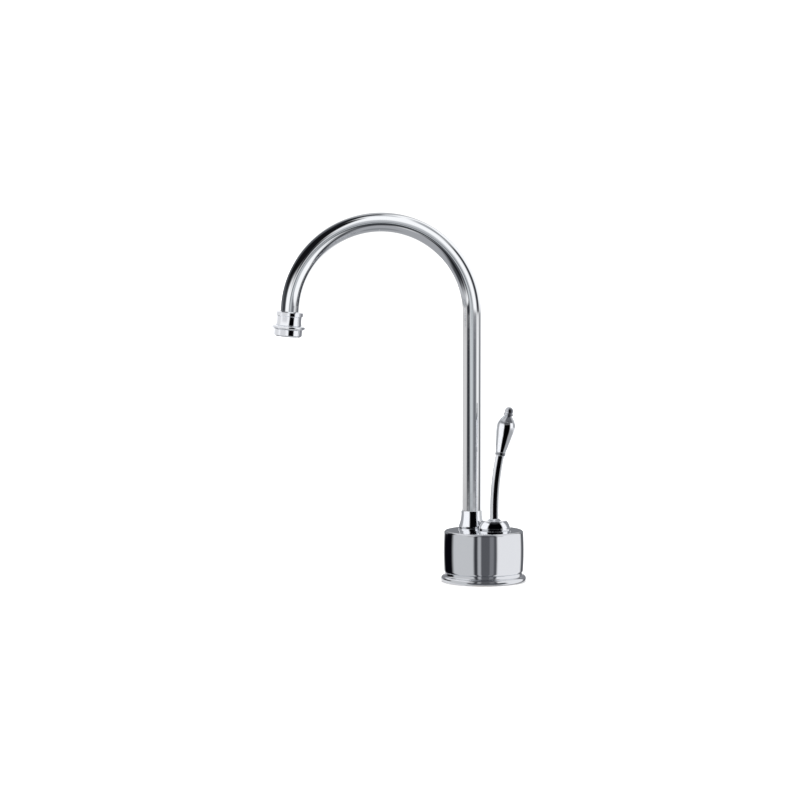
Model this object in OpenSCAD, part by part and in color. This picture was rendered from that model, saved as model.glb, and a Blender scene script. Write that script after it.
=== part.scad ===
// Cold water dispenser tap: a drum body with a swivelling gooseneck spout and a
// tilting lever that opens a ceramic disc valve.
// Millimetres. The origin is the centre of the base's underside, on the deck.
// +Z is up, the spout points along -X at rest, and +Y is the back.

/* [Base] */
// Diameter of the bead at the foot
base_d = 72; // [71:0.5:76]
// Height of the bead
bead_h = 5; // [4:0.2:5.4]
// Height of the base up to the body
base_h = 7.6; // [7:0.2:9]
// How far the cove over the bead curves inwards
cove_hollow = 0.15; // [0.05:0.05:0.3]
// Height of the lip that centres the body
lip_h = 2; // [1:0.5:3]
// Thickness of the lip that centres the body
lip_t = 2.4; // [1.5:0.1:3]
// Outer diameter of the deck gasket
gasket_d = 60; // [56:1:62]
// Width of the deck gasket
gasket_w = 4.5; // [3:0.5:6]
// Depth of the deck gasket
gasket_t = 2; // [1.5:0.1:2.5]

/* [Body] */
// Diameter of the drum body at its top edge
body_d = 67.2; // [66.6:0.2:69]
// Height of the drum body over the base
body_h = 35.6; // [35:0.2:40]
// How far the wall swells at mid height
body_swell = 0.5; // [0.2:0.1:0.8]
// How far the wall draws in at the foot
waist_in = 0.9; // [0.4:0.1:1.1]
// Height of the draw at the foot
waist_h = 2.4; // [1.5:0.1:4]
// How far the draw at the foot bulges
waist_bulge = 0.25; // [0.1:0.05:0.4]
// Wall of the drum body
body_wall = 2.5; // [2.2:0.1:2.7]
// Thickness of the lid
lid_t = 3; // [2.5:0.1:3.4]
// Radius of the lid's edge
lid_edge_r = 2; // [1:0.1:2.2]

/* [Manifold] */
// Wall of the manifold's foot round the shank
manifold_wall = 3.2; // [2.6:0.1:3.6]
// Height of the manifold's foot
manifold_foot_h = 20.6; // [16:0.2:24]
// Width of the web between the two bosses
web_w = 13; // [10:0.5:16]
// Height of the web between the two bosses
web_h = 18; // [14:0.5:20]
// Wall of the boss round the spout's socket
socket_wall = 1.6; // [1.3:0.05:1.7]
// Width of the ledge under the spout's stem
socket_ledge = 2.4; // [2:0.1:2.8]
// Metal between the waterway and the chamber's floor
waterway_roof = 1.1; // [0.8:0.1:1.4]
// Metal between the waterway and the shank
waterway_floor = 2; // [1.6:0.1:2.4]

/* [Spout] */
// Gap between the spout's boss and the body's wall
boss_gap = 0.45; // [0.3:0.05:0.6]
// Gap between the spout's collar and the bonnet
collar_gap = 1; // [0.6:0.1:1.4]
// Outer diameter of the spout's tube
tube_d = 16; // [15.6:0.1:16.1]
// Wall of the spout's tube
tube_wall = 1.2; // [1:0.1:1.4]
// Radius of the gooseneck's centre line
bend_r = 77; // [60:1:95]
// Angle of the gooseneck
bend_angle = 175; // [165:1:180]
// Height of the straight tube's top above the lid
riser_h = 182.8; // [150:1:220]
// Length of the nozzle's neck, which carries on the tube
drop_l = 5.3; // [3:0.1:20]
// Depth of the tube's foot below the lid
tube_foot = 13.2; // [12:0.2:14]
// Thickness of the sealing stem's walls
stem_wall = 3.2; // [2.8:0.1:3.6]
// Length of the sealing stem below the tube
stem_l = 8.5; // [8:0.1:9.5]
// Length of the stem's spigot in the tube
stem_spigot = 8; // [5:0.5:12]
// Section diameter of the spout's O-rings
o_ring_t = 1.8; // [1.6:0.05:2]
// Height of the lower O-ring's middle over the stem's end
o_ring_foot = 2.3; // [2.1:0.1:2.6]
// Distance between the two O-rings
o_ring_pitch = 3.5; // [3.2:0.1:3.8]

/* [Spout collar] */
// Diameter of the collar's foot
collar_foot_d = 22.4; // [22:0.1:22.8]
// Diameter of the collar's top
collar_top_d = 18; // [17.7:0.1:19]
// Height of the collar
collar_h = 15; // [10:0.5:16]
// Height of the plain band at the collar's foot
collar_band_h = 1.8; // [0.8:0.1:2.4]
// How far the collar's side curves inwards
collar_flare = 0.75; // [0.1:0.05:1]
// Radius of the collar's top edge
collar_edge_r = 0.6; // [0.3:0.1:0.7]
// Diameter of the threaded nipple in the collar
nipple_d = 19.6; // [19.5:0.05:19.7]
// Height of the nipple above the lid
nipple_h = 3; // [2.5:0.1:3.4]
// Wall of the plastic bush in the nipple
bush_wall = 0.8; // [0.6:0.05:0.9]
// Length of the plastic bush
bush_l = 8.2; // [6:0.2:8.8]
// Thickness of the ring that holds the spout down
retainer_t = 1.2; // [0.8:0.1:1.5]
// Groove depth of that ring in the tube
retainer_grip = 0.4; // [0.3:0.05:0.5]

/* [Nozzle] */
// Diameter of the nozzle's shoulder
nozzle_shoulder_d = 18.8; // [17.6:0.2:20]
// Height of the cone under the nozzle's shoulder
nozzle_cone_l = 0.6; // [0.4:0.1:1]
// Diameter of the nozzle's top ring
nozzle_ring_d = 23.2; // [22.6:0.2:24]
// Length of the nozzle's top ring
nozzle_ring_l = 3.6; // [3:0.1:4]
// Diameter of the nozzle's barrel
nozzle_barrel_d = 22.2; // [21.6:0.1:22.4]
// Length of the nozzle's barrel
nozzle_barrel_l = 7.8; // [7:0.2:9]
// Chamfer on the nozzle's top ring
nozzle_chamfer = 0.5; // [0.3:0.1:0.8]
// How far the nozzle's barrel curves inwards
nozzle_barrel_hollow = 0.3; // [0.1:0.05:0.5]
// Diameter of the nozzle's bead
nozzle_bead_d = 28.6; // [27:0.2:29]
// Length of the nozzle's bead
nozzle_bead_l = 3; // [2.6:0.1:3.4]
// Diameter of the nozzle's tip
nozzle_tip_d = 24.2; // [23.4:0.1:25]
// Length of the nozzle's tip
nozzle_tip_l = 6.4; // [6:0.1:7.4]
// Radius of the nozzle tip's edge
nozzle_tip_edge_r = 1.8; // [1:0.1:2]
// Groove between the nozzle's rings
nozzle_groove = 0.35; // [0.2:0.05:0.5]
// Depth of the nozzle's spigot in the tube
nozzle_spigot_l = 3; // [2:0.2:3.4]
// Bore of the nozzle
nozzle_bore_d = 11.6; // [10:0.2:12]
// Diameter of the nozzle's thread for the tip
nozzle_thread_d = 18.8; // [18:0.1:19]
// Length of the nozzle's thread for the tip
nozzle_thread_l = 1.8; // [1.4:0.1:2.2]
// Diameter of the water outlet
outlet_d = 16.4; // [15.6:0.1:16.6]
// Thickness of the nozzle's washer
nozzle_washer_t = 0.7; // [0.5:0.1:0.9]
// Thickness of the aerator's plate
aerator_t = 1.5; // [1.2:0.1:1.8]
// Diameter of one hole in the aerator's plate
aerator_hole_d = 1.1; // [0.8:0.1:1.3]
// Rings of holes round the middle one
aerator_rings = 3; // [2:1:3]
// Pitch between the rings of holes
aerator_pitch = 2.2; // [2:0.1:2.3]

/* [Hub] */
// Place of the hub's axis, from the body's axis away from the nozzle
hub_out = 9; // [8.7:0.1:9.4]
// Diameter of the bonnet's skirt
bonnet_d = 27.2; // [26.8:0.1:27.4]
// Height of the bonnet's skirt
skirt_h = 2.5; // [2:0.1:3]
// How far the bonnet steps in above its skirt
skirt_step = 0.3; // [0.1:0.05:0.4]
// Diameter of the bonnet's flat top
bonnet_top_d = 20.8; // [20:0.2:21.6]
// Height of the bonnet above the lid
bonnet_h = 8.4; // [8.2:0.1:9.2]
// How far the bonnet's side bulges
bonnet_bulge = 0.45; // [0.3:0.05:0.6]
// Thickness of the bonnet's roof
roof_t = 2.3; // [2.1:0.1:2.5]
// Diameter of the bonnet's bore
bonnet_bore_d = 22; // [21.9:0.05:22.1]
// Depth of the bonnet's threaded spigot below the lid
spigot_l = 7.2; // [6.8:0.1:7.6]
// Wall between the hub's chamber and the manifold's outside
chamber_wall = 2.3; // [2:0.1:2.5]

/* [Lever] */
// Height of the lever's pivot above the lid
pivot_h = 3.4; // [3.3:0.05:3.6]
// Diameter of the lever's ball
ball_d = 15.2; // [15:0.05:15.3]
// Depth of the ball's flat underside below the pivot
ball_cut = 2.6; // [2.4:0.1:2.9]
// Height of the ball's flat top above the pivot
ball_flat = 6.4; // [6.2:0.05:6.5]
// Diameter of the pivot pin
pin_d = 2.4; // [2:0.1:2.6]
// Greatest tilt of the lever, in degrees
lever_tilt = 20; // [16:0.5:20]
// Diameter of the lever's rod
rod_d = 7.4; // [7:0.1:7.6]
// Height of the straight rod's top above the lid
rod_h = 16.8; // [11:0.2:30]
// Radius of the rod's bend
rod_bend_r = 236; // [160:1:320]
// Lean of the rod's top, in degrees
rod_lean = 11.4; // [5:0.1:18]
// Diameter of the rod's threaded ends
rod_thread_d = 5; // [4:0.2:5.4]
// Length of the rod's thread in the ball
rod_thread_l = 3.6; // [3:0.1:3.9]
// Length of the rod's thread in the grip
grip_thread_l = 18; // [12:1:20]
// Diameter of the lever's foot stem
foot_stem_d = 3; // [2.6:0.1:3.2]
// Diameter of the lever's foot ball
foot_ball_d = 5.2; // [4.8:0.1:5.4]
// Distance from the pivot to the foot ball
foot_l = 10; // [9.8:0.1:10.4]

/* [Grip] */
// Diameter of the ferrule under the grip
ferrule_d = 8.9; // [8.4:0.1:9.4]
// Length of the ferrule
ferrule_l = 3; // [2:0.2:4]
// Radius of the ferrule's edges
ferrule_edge_r = 0.6; // [0.3:0.1:0.9]
// Diameter of the grip's lower end
grip_foot_d = 8.6; // [7.8:0.1:8.9]
// Diameter of the grip at its waist line
grip_mid_d = 13.8; // [12.6:0.2:14.6]
// Diameter of the grip at its widest
grip_d = 15.8; // [15:0.2:17.4]
// Diameter of the grip's shoulder
grip_shoulder_d = 14; // [13.8:0.1:14.8]
// Length from the ferrule to the grip's waist line
grip_mid_l = 14; // [12:0.5:16]
// Length from the waist line to the widest place
grip_swell_l = 7.6; // [6:0.2:9]
// Length from the widest place to the shoulder
grip_shoulder_l = 4.8; // [4:0.2:6]
// How far the grip's lower side bulges
grip_foot_bulge = 0.1; // [0.05:0.05:0.4]
// How far the grip's side bulges up to its widest place
grip_swell_bulge = 0.2; // [0.05:0.05:0.4]
// How far the grip's side bulges up to its shoulder
grip_shoulder_bulge = 0.3; // [0.1:0.05:0.5]
// Diameter of the finial's bell
bell_d = 13.6; // [12:0.2:13.8]
// Height of the finial's bell
bell_h = 5.1; // [4:0.1:6]
// Diameter of the finial's neck
neck_d = 5.8; // [4.8:0.1:6.4]
// How far the bell bulges
bell_bulge = 0.25; // [0.05:0.05:0.5]
// Diameter of the finial's disc
disc_d = 8.5; // [7:0.1:9]
// Height of the finial's disc
disc_h = 2.2; // [1.6:0.1:2.6]
// Diameter of the finial's ball
finial_ball_d = 7.4; // [6:0.1:8]
// How far the ball sinks into the disc
finial_ball_sink = 2.1; // [0.4:0.1:2.4]
// Diameter of the finial's thread
finial_thread_d = 4; // [3:0.1:5]
// Length of the finial's thread
finial_thread_l = 6; // [4:0.5:7]

/* [Valve] */
// Diameter of the cartridge
cartridge_d = 24.6; // [24.5:0.05:24.8]
// Wall of the cartridge's housing
cartridge_wall = 1.2; // [1:0.05:1.25]
// Diameter of the cartridge's tower in the bonnet
tower_d = 21.6; // [21.4:0.05:21.7]
// Thickness of the tower's inner plate
tower_plate_t = 1.2; // [1:0.1:1.4]
// Thickness of the ball's seat ring
seat_t = 0.8; // [0.6:0.05:0.9]
// Thickness of the rubber seal under the cartridge
seal_t = 1; // [0.8:0.1:1.4]
// Thickness of the cartridge's base
cartridge_base_t = 2.5; // [2:0.1:3]
// Thickness of the fixed ceramic disc
fixed_disc_t = 2.8; // [2.4:0.1:3.2]
// Thickness of the moving ceramic disc
moving_disc_t = 2.6; // [2.4:0.1:3]
// Diameter of the moving ceramic disc
moving_disc_d = 16; // [15.8:0.1:16.4]
// Depth of the channel in the moving disc
channel_t = 1.6; // [1.2:0.1:1.8]
// Length of the channel along the slide
channel_l = 7.8; // [7:0.2:8.6]
// How far the channel reaches in front of the slide's middle
channel_front = 2.5; // [2:0.1:3]
// Land between the closed inlet port and the channel
channel_land = 0.8; // [0.6:0.1:1]
// How far the closed disc stands short of mid travel
disc_lag = 0.9; // [0.6:0.1:1.2]
// Thickness of the disc carrier's flange
carrier_flange_t = 2.5; // [2.2:0.1:3]
// Wall of the disc carrier's neck
carrier_neck_wall = 1.7; // [1.4:0.1:1.8]
// Diameter of the two ports
port_d = 3.8; // [3.4:0.1:3.9]
// Distance of the inlet port from the hub's axis
port_in_out = 4.5; // [4.4:0.05:4.6]
// Distance of the outlet port from the hub's axis, across
port_out_x = 1.5; // [1.3:0.1:1.7]
// Distance of the outlet port from the hub's axis, to the back
port_out_y = 3.4; // [3.3:0.1:3.5]

/* [Under the deck] */
// Outer diameter of the threaded shank
shank_d = 22; // [21.6:0.1:24]
// Bore of the shank
shank_bore_d = 16; // [15.7:0.1:17]
// Length of the shank below the deck's top
shank_l = 60; // [50:1:80]
// Thickness of the deck that is shown clamped
deck_t = 30; // [10:1:34]
// Diameter of the washers under the deck
washer_d = 46; // [40:1:48]
// Thickness of the rubber washer
rubber_washer_t = 3; // [2:0.2:4]
// Thickness of the steel washer
steel_washer_t = 1.6; // [1:0.1:2]
// Width of the mounting nut across its flats
nut_w = 32; // [30:0.5:36]
// Height of the mounting nut
nut_h = 8; // [6:0.5:10]
// Outer diameter of the inlet tube
inlet_d = 6.35; // [6:0.05:6.4]
// Wall of the inlet tube
inlet_wall = 0.8; // [0.6:0.05:1]
// Length of the inlet tube below the deck's top
inlet_l = 84; // [82:1:120]
// Width of the inlet fitting across its flats
fitting_w = 17; // [16:0.5:19]
// Land in the fitting that the inlet tube stops at
fitting_land = 1; // [0.6:0.1:1.6]
// Length of the inlet fitting's hexagon
fitting_hex_l = 7; // [5:0.5:9]
// Diameter of the inlet fitting's threaded end
fitting_thread_d = 14.3; // [13:0.1:15.5]
// Length of the inlet fitting's threaded end
fitting_thread_l = 12; // [8:0.5:16]
// Bore of the inlet fitting
fitting_bore_d = 5; // [4:0.2:6]

/* [Fits] */
// Radial clearance of pieces that turn in each other
running_gap = 0.06; // [0.03:0.01:0.08]
// Clearance of pieces that slide past each other
sliding_gap = 0.1; // [0.06:0.01:0.12]
// Clearance of pieces that must not touch
free_gap = 0.2; // [0.15:0.01:0.25]

/* [Hidden] */
$fn = 96;

// A cut that runs past a face runs past it by this much
past = 1;
// Steps of a curved stretch of an outline
steps = 8;

// Heights of the body
lid_z = base_h + body_h;
lid_under_z = lid_z - lid_t;
bonnet_top_z = lid_z + bonnet_h;
roof_z = bonnet_top_z - roof_t;
spigot_z = lid_z - spigot_l;

// Place of the hub
hub_x = hub_out;

// Heights of the valve, from the pivot down
pivot_z = lid_z + pivot_h;
foot_z = pivot_z - foot_l;
foot_r = foot_ball_d / 2;
ball_r = ball_d / 2;
ball_drop = ball_cut * cos(lever_tilt) + sqrt(ball_r * ball_r - ball_cut * ball_cut) * sin(lever_tilt);
plate_z = pivot_z - ball_drop - free_gap;
carrier_top_z = plate_z - tower_plate_t - 4 * free_gap;
carrier_flange_z = foot_z - foot_r - 3 * free_gap;
carrier_z = carrier_flange_z - carrier_flange_t;
moving_z = carrier_z - moving_disc_t;
fixed_z = moving_z - fixed_disc_t;
cartridge_base_z = fixed_z - cartridge_base_t;
chamber_z = cartridge_base_z - seal_t;
travel = foot_l * sin(lever_tilt);

// Sizes of the valve
cartridge_r = cartridge_d / 2;
chamber_r = cartridge_r + free_gap;
cavity_r = cartridge_r - cartridge_wall;
tower_r = tower_d / 2;
port_r = port_d / 2;
carrier_bore_r = foot_r + sliding_gap;
carrier_neck_r = carrier_bore_r + carrier_neck_wall;
neck_room_r = carrier_neck_r + travel + 2 * free_gap;
disc_shift = travel / 2 - disc_lag;
inlet_port_x = hub_x - port_in_out;
outlet_port_x = hub_x + port_out_x;
hub_boss_r = chamber_r + chamber_wall;

// Sizes of the spout
tube_r = tube_d / 2;
tube_bore_r = tube_r - tube_wall;
bend_z = lid_z + riser_h;
tube_foot_z = lid_z - tube_foot;
stem_r = tube_r - free_gap / 2;
stem_z = tube_foot_z - stem_l;
socket_r = tube_r + running_gap;
bush_r = socket_r + bush_wall;
nipple_z = lid_z + nipple_h;
nipple_r = nipple_d / 2;
bush_z = nipple_z - bush_l;
retainer_z = nipple_z + 2 * free_gap;
retainer_r = nipple_r - 2 * free_gap;
collar_bore_z = retainer_z + retainer_t + 3 * free_gap;

// Place of the spout, by its distances from the body's axis and from the hub's
spout_boss_r = bush_r + socket_wall;
spout_ring_r = body_d / 2 - body_wall - spout_boss_r - boss_gap;
spout_reach = (collar_foot_d + bonnet_d) / 2 + collar_gap;
spout_x = (spout_ring_r * spout_ring_r + hub_x * hub_x - spout_reach * spout_reach) / (2 * hub_x);
spout_y = sqrt(spout_ring_r * spout_ring_r - spout_x * spout_x);

// The waterway between the valve and the spout
waterway_z = chamber_z - port_r - waterway_roof;
shank_top_z = waterway_z - port_r - waterway_floor;
boss_foot_z = shank_top_z - sliding_gap;

// Stations along the nozzle, from the end of the bend
nozzle_s = drop_l;
ring_s = nozzle_s + nozzle_cone_l;
barrel_s = ring_s + nozzle_ring_l;
bead_s = barrel_s + nozzle_barrel_l;
tip_s = bead_s + nozzle_bead_l;
tip_end_s = tip_s + nozzle_tip_l;
thread_end_s = tip_s + nozzle_thread_l;
aerator_s = thread_end_s + nozzle_washer_t;
lip_s = aerator_s + aerator_t;
nozzle_thread_r = nozzle_thread_d / 2;
nozzle_bore_r = nozzle_bore_d / 2;

// Stations along the grip, from the top of the rod
grip_s = ferrule_l;
grip_mid_s = grip_s + grip_mid_l;
grip_wide_s = grip_mid_s + grip_swell_l;
finial_s = grip_wide_s + grip_shoulder_l;
rod_bend_z = lid_z + rod_h;

// Heights under the deck
rubber_z = -deck_t - rubber_washer_t;
steel_z = rubber_z - steel_washer_t;
nut_z = steel_z - nut_h;

// Colours
chrome = [0.80, 0.82, 0.84];
brass = [0.78, 0.62, 0.32];
steel = [0.66, 0.67, 0.68];
rubber = [0.12, 0.12, 0.12];
white_plastic = [0.92, 0.92, 0.90];
grey_plastic = [0.55, 0.57, 0.60];
ceramic = [0.95, 0.93, 0.88];

// Points of a circular arc from a to b that bows out by h to the left, without a itself
function bow(a, b, h) =
    let (
        d = b - a,
        len = norm(d),
        along = d / len,
        left = [-along[1], along[0]],
        r = (len * len / 4 + h * h) / (2 * h),
        half = 2 * atan(2 * h / len),
        centre = (a + b) / 2 - left * (r - h)
    )
    [for (i = [1 : steps])
        let (t = -half + 2 * half * i / steps)
        centre + r * (sin(t) * along + cos(t) * left)];

// Quarter round of an outside edge, taken counter-clockwise
function quarter_round(a, b) = bow(a, b, -norm(b - a) * (sqrt(2) - 1) / 2);

// A ring with square edges, from height z up
module ring(outer, inner, z, h) {
    translate([0, 0, z])
        rotate_extrude()
            translate([inner, 0])
                square([outer - inner, h]);
}

// A straight bore or peg, from height z up
module rod(r, z, h) {
    translate([0, 0, z])
        cylinder(r = r, h = h);
}

module at_spout() {
    translate([spout_x, spout_y, 0])
        children();
}

module at_hub() {
    translate([hub_x, 0, 0])
        children();
}

// The frame at the end of the bend, with +Z along the water's way
module at_nozzle() {
    translate([spout_x - bend_r, spout_y, bend_z])
        rotate([0, -bend_angle, 0])
            translate([bend_r, 0, 0])
                children();
}

// The frame at the top of the rod, with +Z along the grip
module at_grip() {
    translate([hub_x + rod_bend_r, 0, rod_bend_z])
        rotate([0, rod_lean, 0])
            translate([-rod_bend_r, 0, 0])
                children();
}

// A hexagon, by its width across the flats
module hexagon(width, z, h) {
    translate([0, 0, z])
        cylinder(r = width / sqrt(3), h = h, $fn = 6);
}

// Foot of the tap: bead, cove and the lip that centres the body
module base_ring() {
    bead_r = bead_h / 2;
    rim_r = base_d / 2 - bead_r;
    top_r = body_d / 2 - waist_in;
    hole_r = shank_d / 2 + free_gap;
    lip_r = body_d / 2 - body_wall - sliding_gap;
    color(chrome)
        difference() {
            rotate_extrude()
                union() {
                    translate([rim_r, bead_r])
                        circle(r = bead_r);
                    polygon(concat(
                        [[hole_r, 0], [rim_r, 0], [rim_r, bead_h]],
                        bow([rim_r, bead_h], [top_r, base_h], cove_hollow),
                        [[lip_r, base_h], [lip_r, base_h + lip_h],
                         [lip_r - lip_t, base_h + lip_h], [lip_r - lip_t, base_h],
                         [hole_r, base_h]]
                    ));
                }
            ring(gasket_d / 2, gasket_d / 2 - gasket_w, -past, gasket_t + past);
        }
}

// Rubber gasket in the base's groove, level with its underside
module deck_gasket() {
    color(rubber)
        ring(gasket_d / 2, gasket_d / 2 - gasket_w, 0, gasket_t);
}

// Drum body: a shell that is open below, with a hole for each of the two necks
module body_shell() {
    r = body_d / 2;
    foot_r = r - waist_in;
    inner_r = r - body_wall;
    wall_z = base_h + waist_h;
    edge_z = lid_z - lid_edge_r;
    color(chrome)
        difference() {
            rotate_extrude()
                polygon(concat(
                    [[inner_r, base_h], [foot_r, base_h]],
                    bow([foot_r, base_h], [r, wall_z], -waist_bulge),
                    bow([r, wall_z], [r, edge_z], -body_swell),
                    quarter_round([r, edge_z], [r - lid_edge_r, lid_z]),
                    [[0, lid_z], [0, lid_under_z], [inner_r, lid_under_z]]
                ));
            at_spout()
                rod(nipple_r + free_gap, lid_under_z - past, lid_t + 2 * past);
            at_hub()
                rod(chamber_r + sliding_gap, lid_under_z - past, lid_t + 2 * past);
        }
}

// Brass block that joins the shank, the valve's chamber and the spout's socket
module manifold() {
    drill_from = [outlet_port_x, port_out_y];
    drill = [spout_x, spout_y] - drill_from;
    drill_turn = atan2(drill[1], drill[0]);
    foot_r = shank_d / 2 + manifold_wall;
    color(brass)
        difference() {
            union() {
                rod(foot_r, base_h, manifold_foot_h);
                at_hub()
                    rod(hub_boss_r, base_h, lid_under_z - base_h);
                at_spout() {
                    rod(spout_boss_r, boss_foot_z, lid_under_z - boss_foot_z);
                    rod(nipple_r, boss_foot_z, nipple_z - boss_foot_z);
                }
                translate([hub_x, 0, boss_foot_z])
                    rotate([0, 0, atan2(spout_y, spout_x - hub_x)])
                        translate([0, -web_w / 2, 0])
                            cube([spout_reach, web_w, web_h]);
            }
            rod(shank_d / 2, base_h - past, shank_top_z - base_h + past);
            translate([inlet_port_x, 0, 0]) {
                rod(inlet_d / 2, shank_top_z - past, waterway_z - shank_top_z + past);
                rod(port_r, waterway_z - past, chamber_z - waterway_z + 2 * past);
            }
            at_hub()
                rod(chamber_r, chamber_z, lid_under_z - chamber_z + past);
            translate([drill_from[0], drill_from[1], 0])
                rod(port_r, waterway_z, chamber_z - waterway_z + past);
            translate([drill_from[0], drill_from[1], waterway_z])
                rotate([0, 90, drill_turn])
                    cylinder(r = port_r, h = norm(drill));
            at_spout() {
                rod(stem_r - socket_ledge, waterway_z, stem_z - waterway_z + past);
                rod(socket_r, stem_z - 2 * free_gap, nipple_z - stem_z + past);
                rod(bush_r, bush_z, nipple_z - bush_z + past);
            }
        }
}

// Tapered collar that screws onto the nipple and holds the lid and the spout down
module spout_collar() {
    foot_r = collar_foot_d / 2;
    top_r = collar_top_d / 2;
    band_z = lid_z + collar_band_h;
    top_z = lid_z + collar_h;
    edge_z = top_z - collar_edge_r;
    hole_r = tube_r + free_gap;
    color(chrome)
        at_spout()
            rotate_extrude()
                polygon(concat(
                    [[nipple_r, lid_z], [foot_r, lid_z], [foot_r, band_z]],
                    bow([foot_r, band_z], [top_r, edge_z], collar_flare),
                    quarter_round([top_r, edge_z], [top_r - collar_edge_r, top_z]),
                    [[hole_r, top_z], [hole_r, collar_bore_z], [nipple_r, collar_bore_z]]
                ));
}

// Plastic bush that the spout turns in
module spout_bush() {
    color(white_plastic)
        at_spout()
            ring(bush_r, socket_r, bush_z, bush_l);
}

// Rubber seal between the cartridge and the chamber's floor
module cartridge_seal() {
    color(rubber)
        at_hub()
            difference() {
                rod(cartridge_r, chamber_z, seal_t);
                ports(chamber_z, seal_t);
            }
}

// The two ports that the seal, the cartridge's base and the fixed disc share
module ports(z, h) {
    translate([-port_in_out, 0, 0])
        rod(port_r, z - past, h + 2 * past);
    translate([port_out_x, port_out_y, 0])
        rod(port_r, z - past, h + 2 * past);
}

// Plastic base of the cartridge
module cartridge_base() {
    color(grey_plastic)
        at_hub()
            difference() {
                rod(cartridge_r, cartridge_base_z, cartridge_base_t);
                ports(cartridge_base_z, cartridge_base_t);
            }
}

// Ceramic disc that stays still
module fixed_disc() {
    color(ceramic)
        at_hub()
            difference() {
                rod(cavity_r, fixed_z, fixed_disc_t);
                ports(fixed_z, fixed_disc_t);
            }
}

// Plastic housing: the discs slide in its foot and the lever's ball turns in its tower
module cartridge_housing() {
    tower_top_z = roof_z - seat_t;
    cavity_top_z = carrier_flange_z + 2 * free_gap;
    foot_way_r = (pivot_z - plate_z + tower_plate_t) * tan(lever_tilt)
        + foot_stem_d / 2 / cos(lever_tilt) + 2 * free_gap;
    color(grey_plastic)
        at_hub()
            difference() {
                union() {
                    rod(cartridge_r, fixed_z, spigot_z - fixed_z);
                    rod(tower_r, fixed_z, tower_top_z - fixed_z);
                }
                rod(cavity_r, fixed_z - past, cavity_top_z - fixed_z + past);
                rod(neck_room_r, cavity_top_z - past, plate_z - tower_plate_t - cavity_top_z + past);
                rod(foot_way_r, plate_z - tower_plate_t - past, tower_plate_t + 2 * past);
                rod(ball_r + sliding_gap, plate_z, tower_top_z - plate_z + past);
                translate([0, 0, pivot_z])
                    rotate([90, 0, 0])
                        cylinder(r = pin_d / 2 + running_gap, h = tower_d, center = true);
            }
}

// Slippery ring between the ball and the bonnet
module ball_seat() {
    color(white_plastic)
        at_hub()
            difference() {
                rod(tower_r, roof_z - seat_t, seat_t);
                translate([0, 0, pivot_z])
                    sphere(r = ball_r + running_gap);
            }
}

// Flat-topped bonnet that screws into the chamber over the cartridge
module bonnet() {
    r = bonnet_d / 2;
    side_r = r - skirt_step;
    top_r = bonnet_top_d / 2;
    bore_r = bonnet_bore_d / 2;
    skirt_z = lid_z + skirt_h;
    color(chrome)
        at_hub()
            difference() {
                rotate_extrude()
                    polygon(concat(
                        [[bore_r, spigot_z], [cartridge_r, spigot_z], [cartridge_r, lid_z],
                         [r, lid_z], [r, skirt_z - skirt_step], [side_r, skirt_z]],
                        bow([side_r, skirt_z], [top_r, bonnet_top_z], -bonnet_bulge),
                        [[0, bonnet_top_z], [0, roof_z], [bore_r, roof_z]]
                    ));
                translate([0, 0, pivot_z])
                    sphere(r = ball_r + sliding_gap);
            }
}

// Threaded shank that holds the tap to the deck
module shank() {
    color(brass)
        ring(shank_d / 2, shank_bore_d / 2, -shank_l, shank_l + shank_top_z);
}

// Rubber washer under the deck
module rubber_washer() {
    color(rubber)
        ring(washer_d / 2, shank_d / 2 + free_gap, rubber_z, rubber_washer_t);
}

// Steel washer under the rubber one
module steel_washer() {
    color(steel)
        ring(washer_d / 2, shank_d / 2 + free_gap, steel_z, steel_washer_t);
}

// Nut that clamps the deck
module mounting_nut() {
    color(brass)
        difference() {
            hexagon(nut_w, nut_z, nut_h);
            rod(shank_d / 2, nut_z - past, nut_h + 2 * past);
        }
}

// Tube that brings the water up through the shank
module inlet_tube() {
    color(steel)
        translate([inlet_port_x, 0, 0])
            ring(inlet_d / 2, inlet_d / 2 - inlet_wall, -inlet_l, inlet_l + waterway_z);
}

// Fitting that the supply hose screws onto
module inlet_fitting() {
    hex_z = -inlet_l - fitting_land;
    color(brass)
        translate([inlet_port_x, 0, 0])
            difference() {
                union() {
                    hexagon(fitting_w, hex_z, fitting_hex_l);
                    rod(fitting_thread_d / 2, hex_z - fitting_thread_l, fitting_thread_l);
                }
                rod(fitting_bore_d / 2, hex_z - fitting_thread_l - past, fitting_thread_l + 2 * past);
                rod(inlet_d / 2, -inlet_l, fitting_hex_l);
            }
}

// The gooseneck of radius r: riser and bend
module gooseneck(r) {
    at_spout() {
        rod(r, tube_foot_z, bend_z - tube_foot_z);
        translate([-bend_r, 0, bend_z])
            rotate([90, 0, 0])
                rotate_extrude(angle = bend_angle)
                    translate([bend_r, 0])
                        circle(r = r);
    }
}

// Bent tube of the spout
module spout_tube() {
    color(chrome)
        difference() {
            gooseneck(tube_r);
            gooseneck(tube_bore_r);
            at_spout() {
                rod(tube_bore_r, tube_foot_z - past, 2 * past);
                ring(tube_r + past, tube_r - retainer_grip, retainer_z, retainer_t);
            }
        }
}

// Height of each O-ring's middle on the stem
function o_ring_z(i) = stem_z + o_ring_foot + o_ring_pitch * i;

// Brass stem brazed into the tube's foot, with a groove for each O-ring
module spout_stem() {
    bore_r = stem_r - stem_wall;
    color(brass)
        at_spout()
            difference() {
                union() {
                    rod(stem_r, stem_z, stem_l);
                    rod(tube_bore_r, stem_z, stem_l + stem_spigot);
                }
                rod(bore_r, stem_z - past, stem_l + stem_spigot + 2 * past);
                for (i = [0, 1])
                    ring(stem_r + past, tube_r - o_ring_t, o_ring_z(i) - o_ring_t / 2 - sliding_gap,
                         o_ring_t + 2 * sliding_gap);
            }
}

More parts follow.
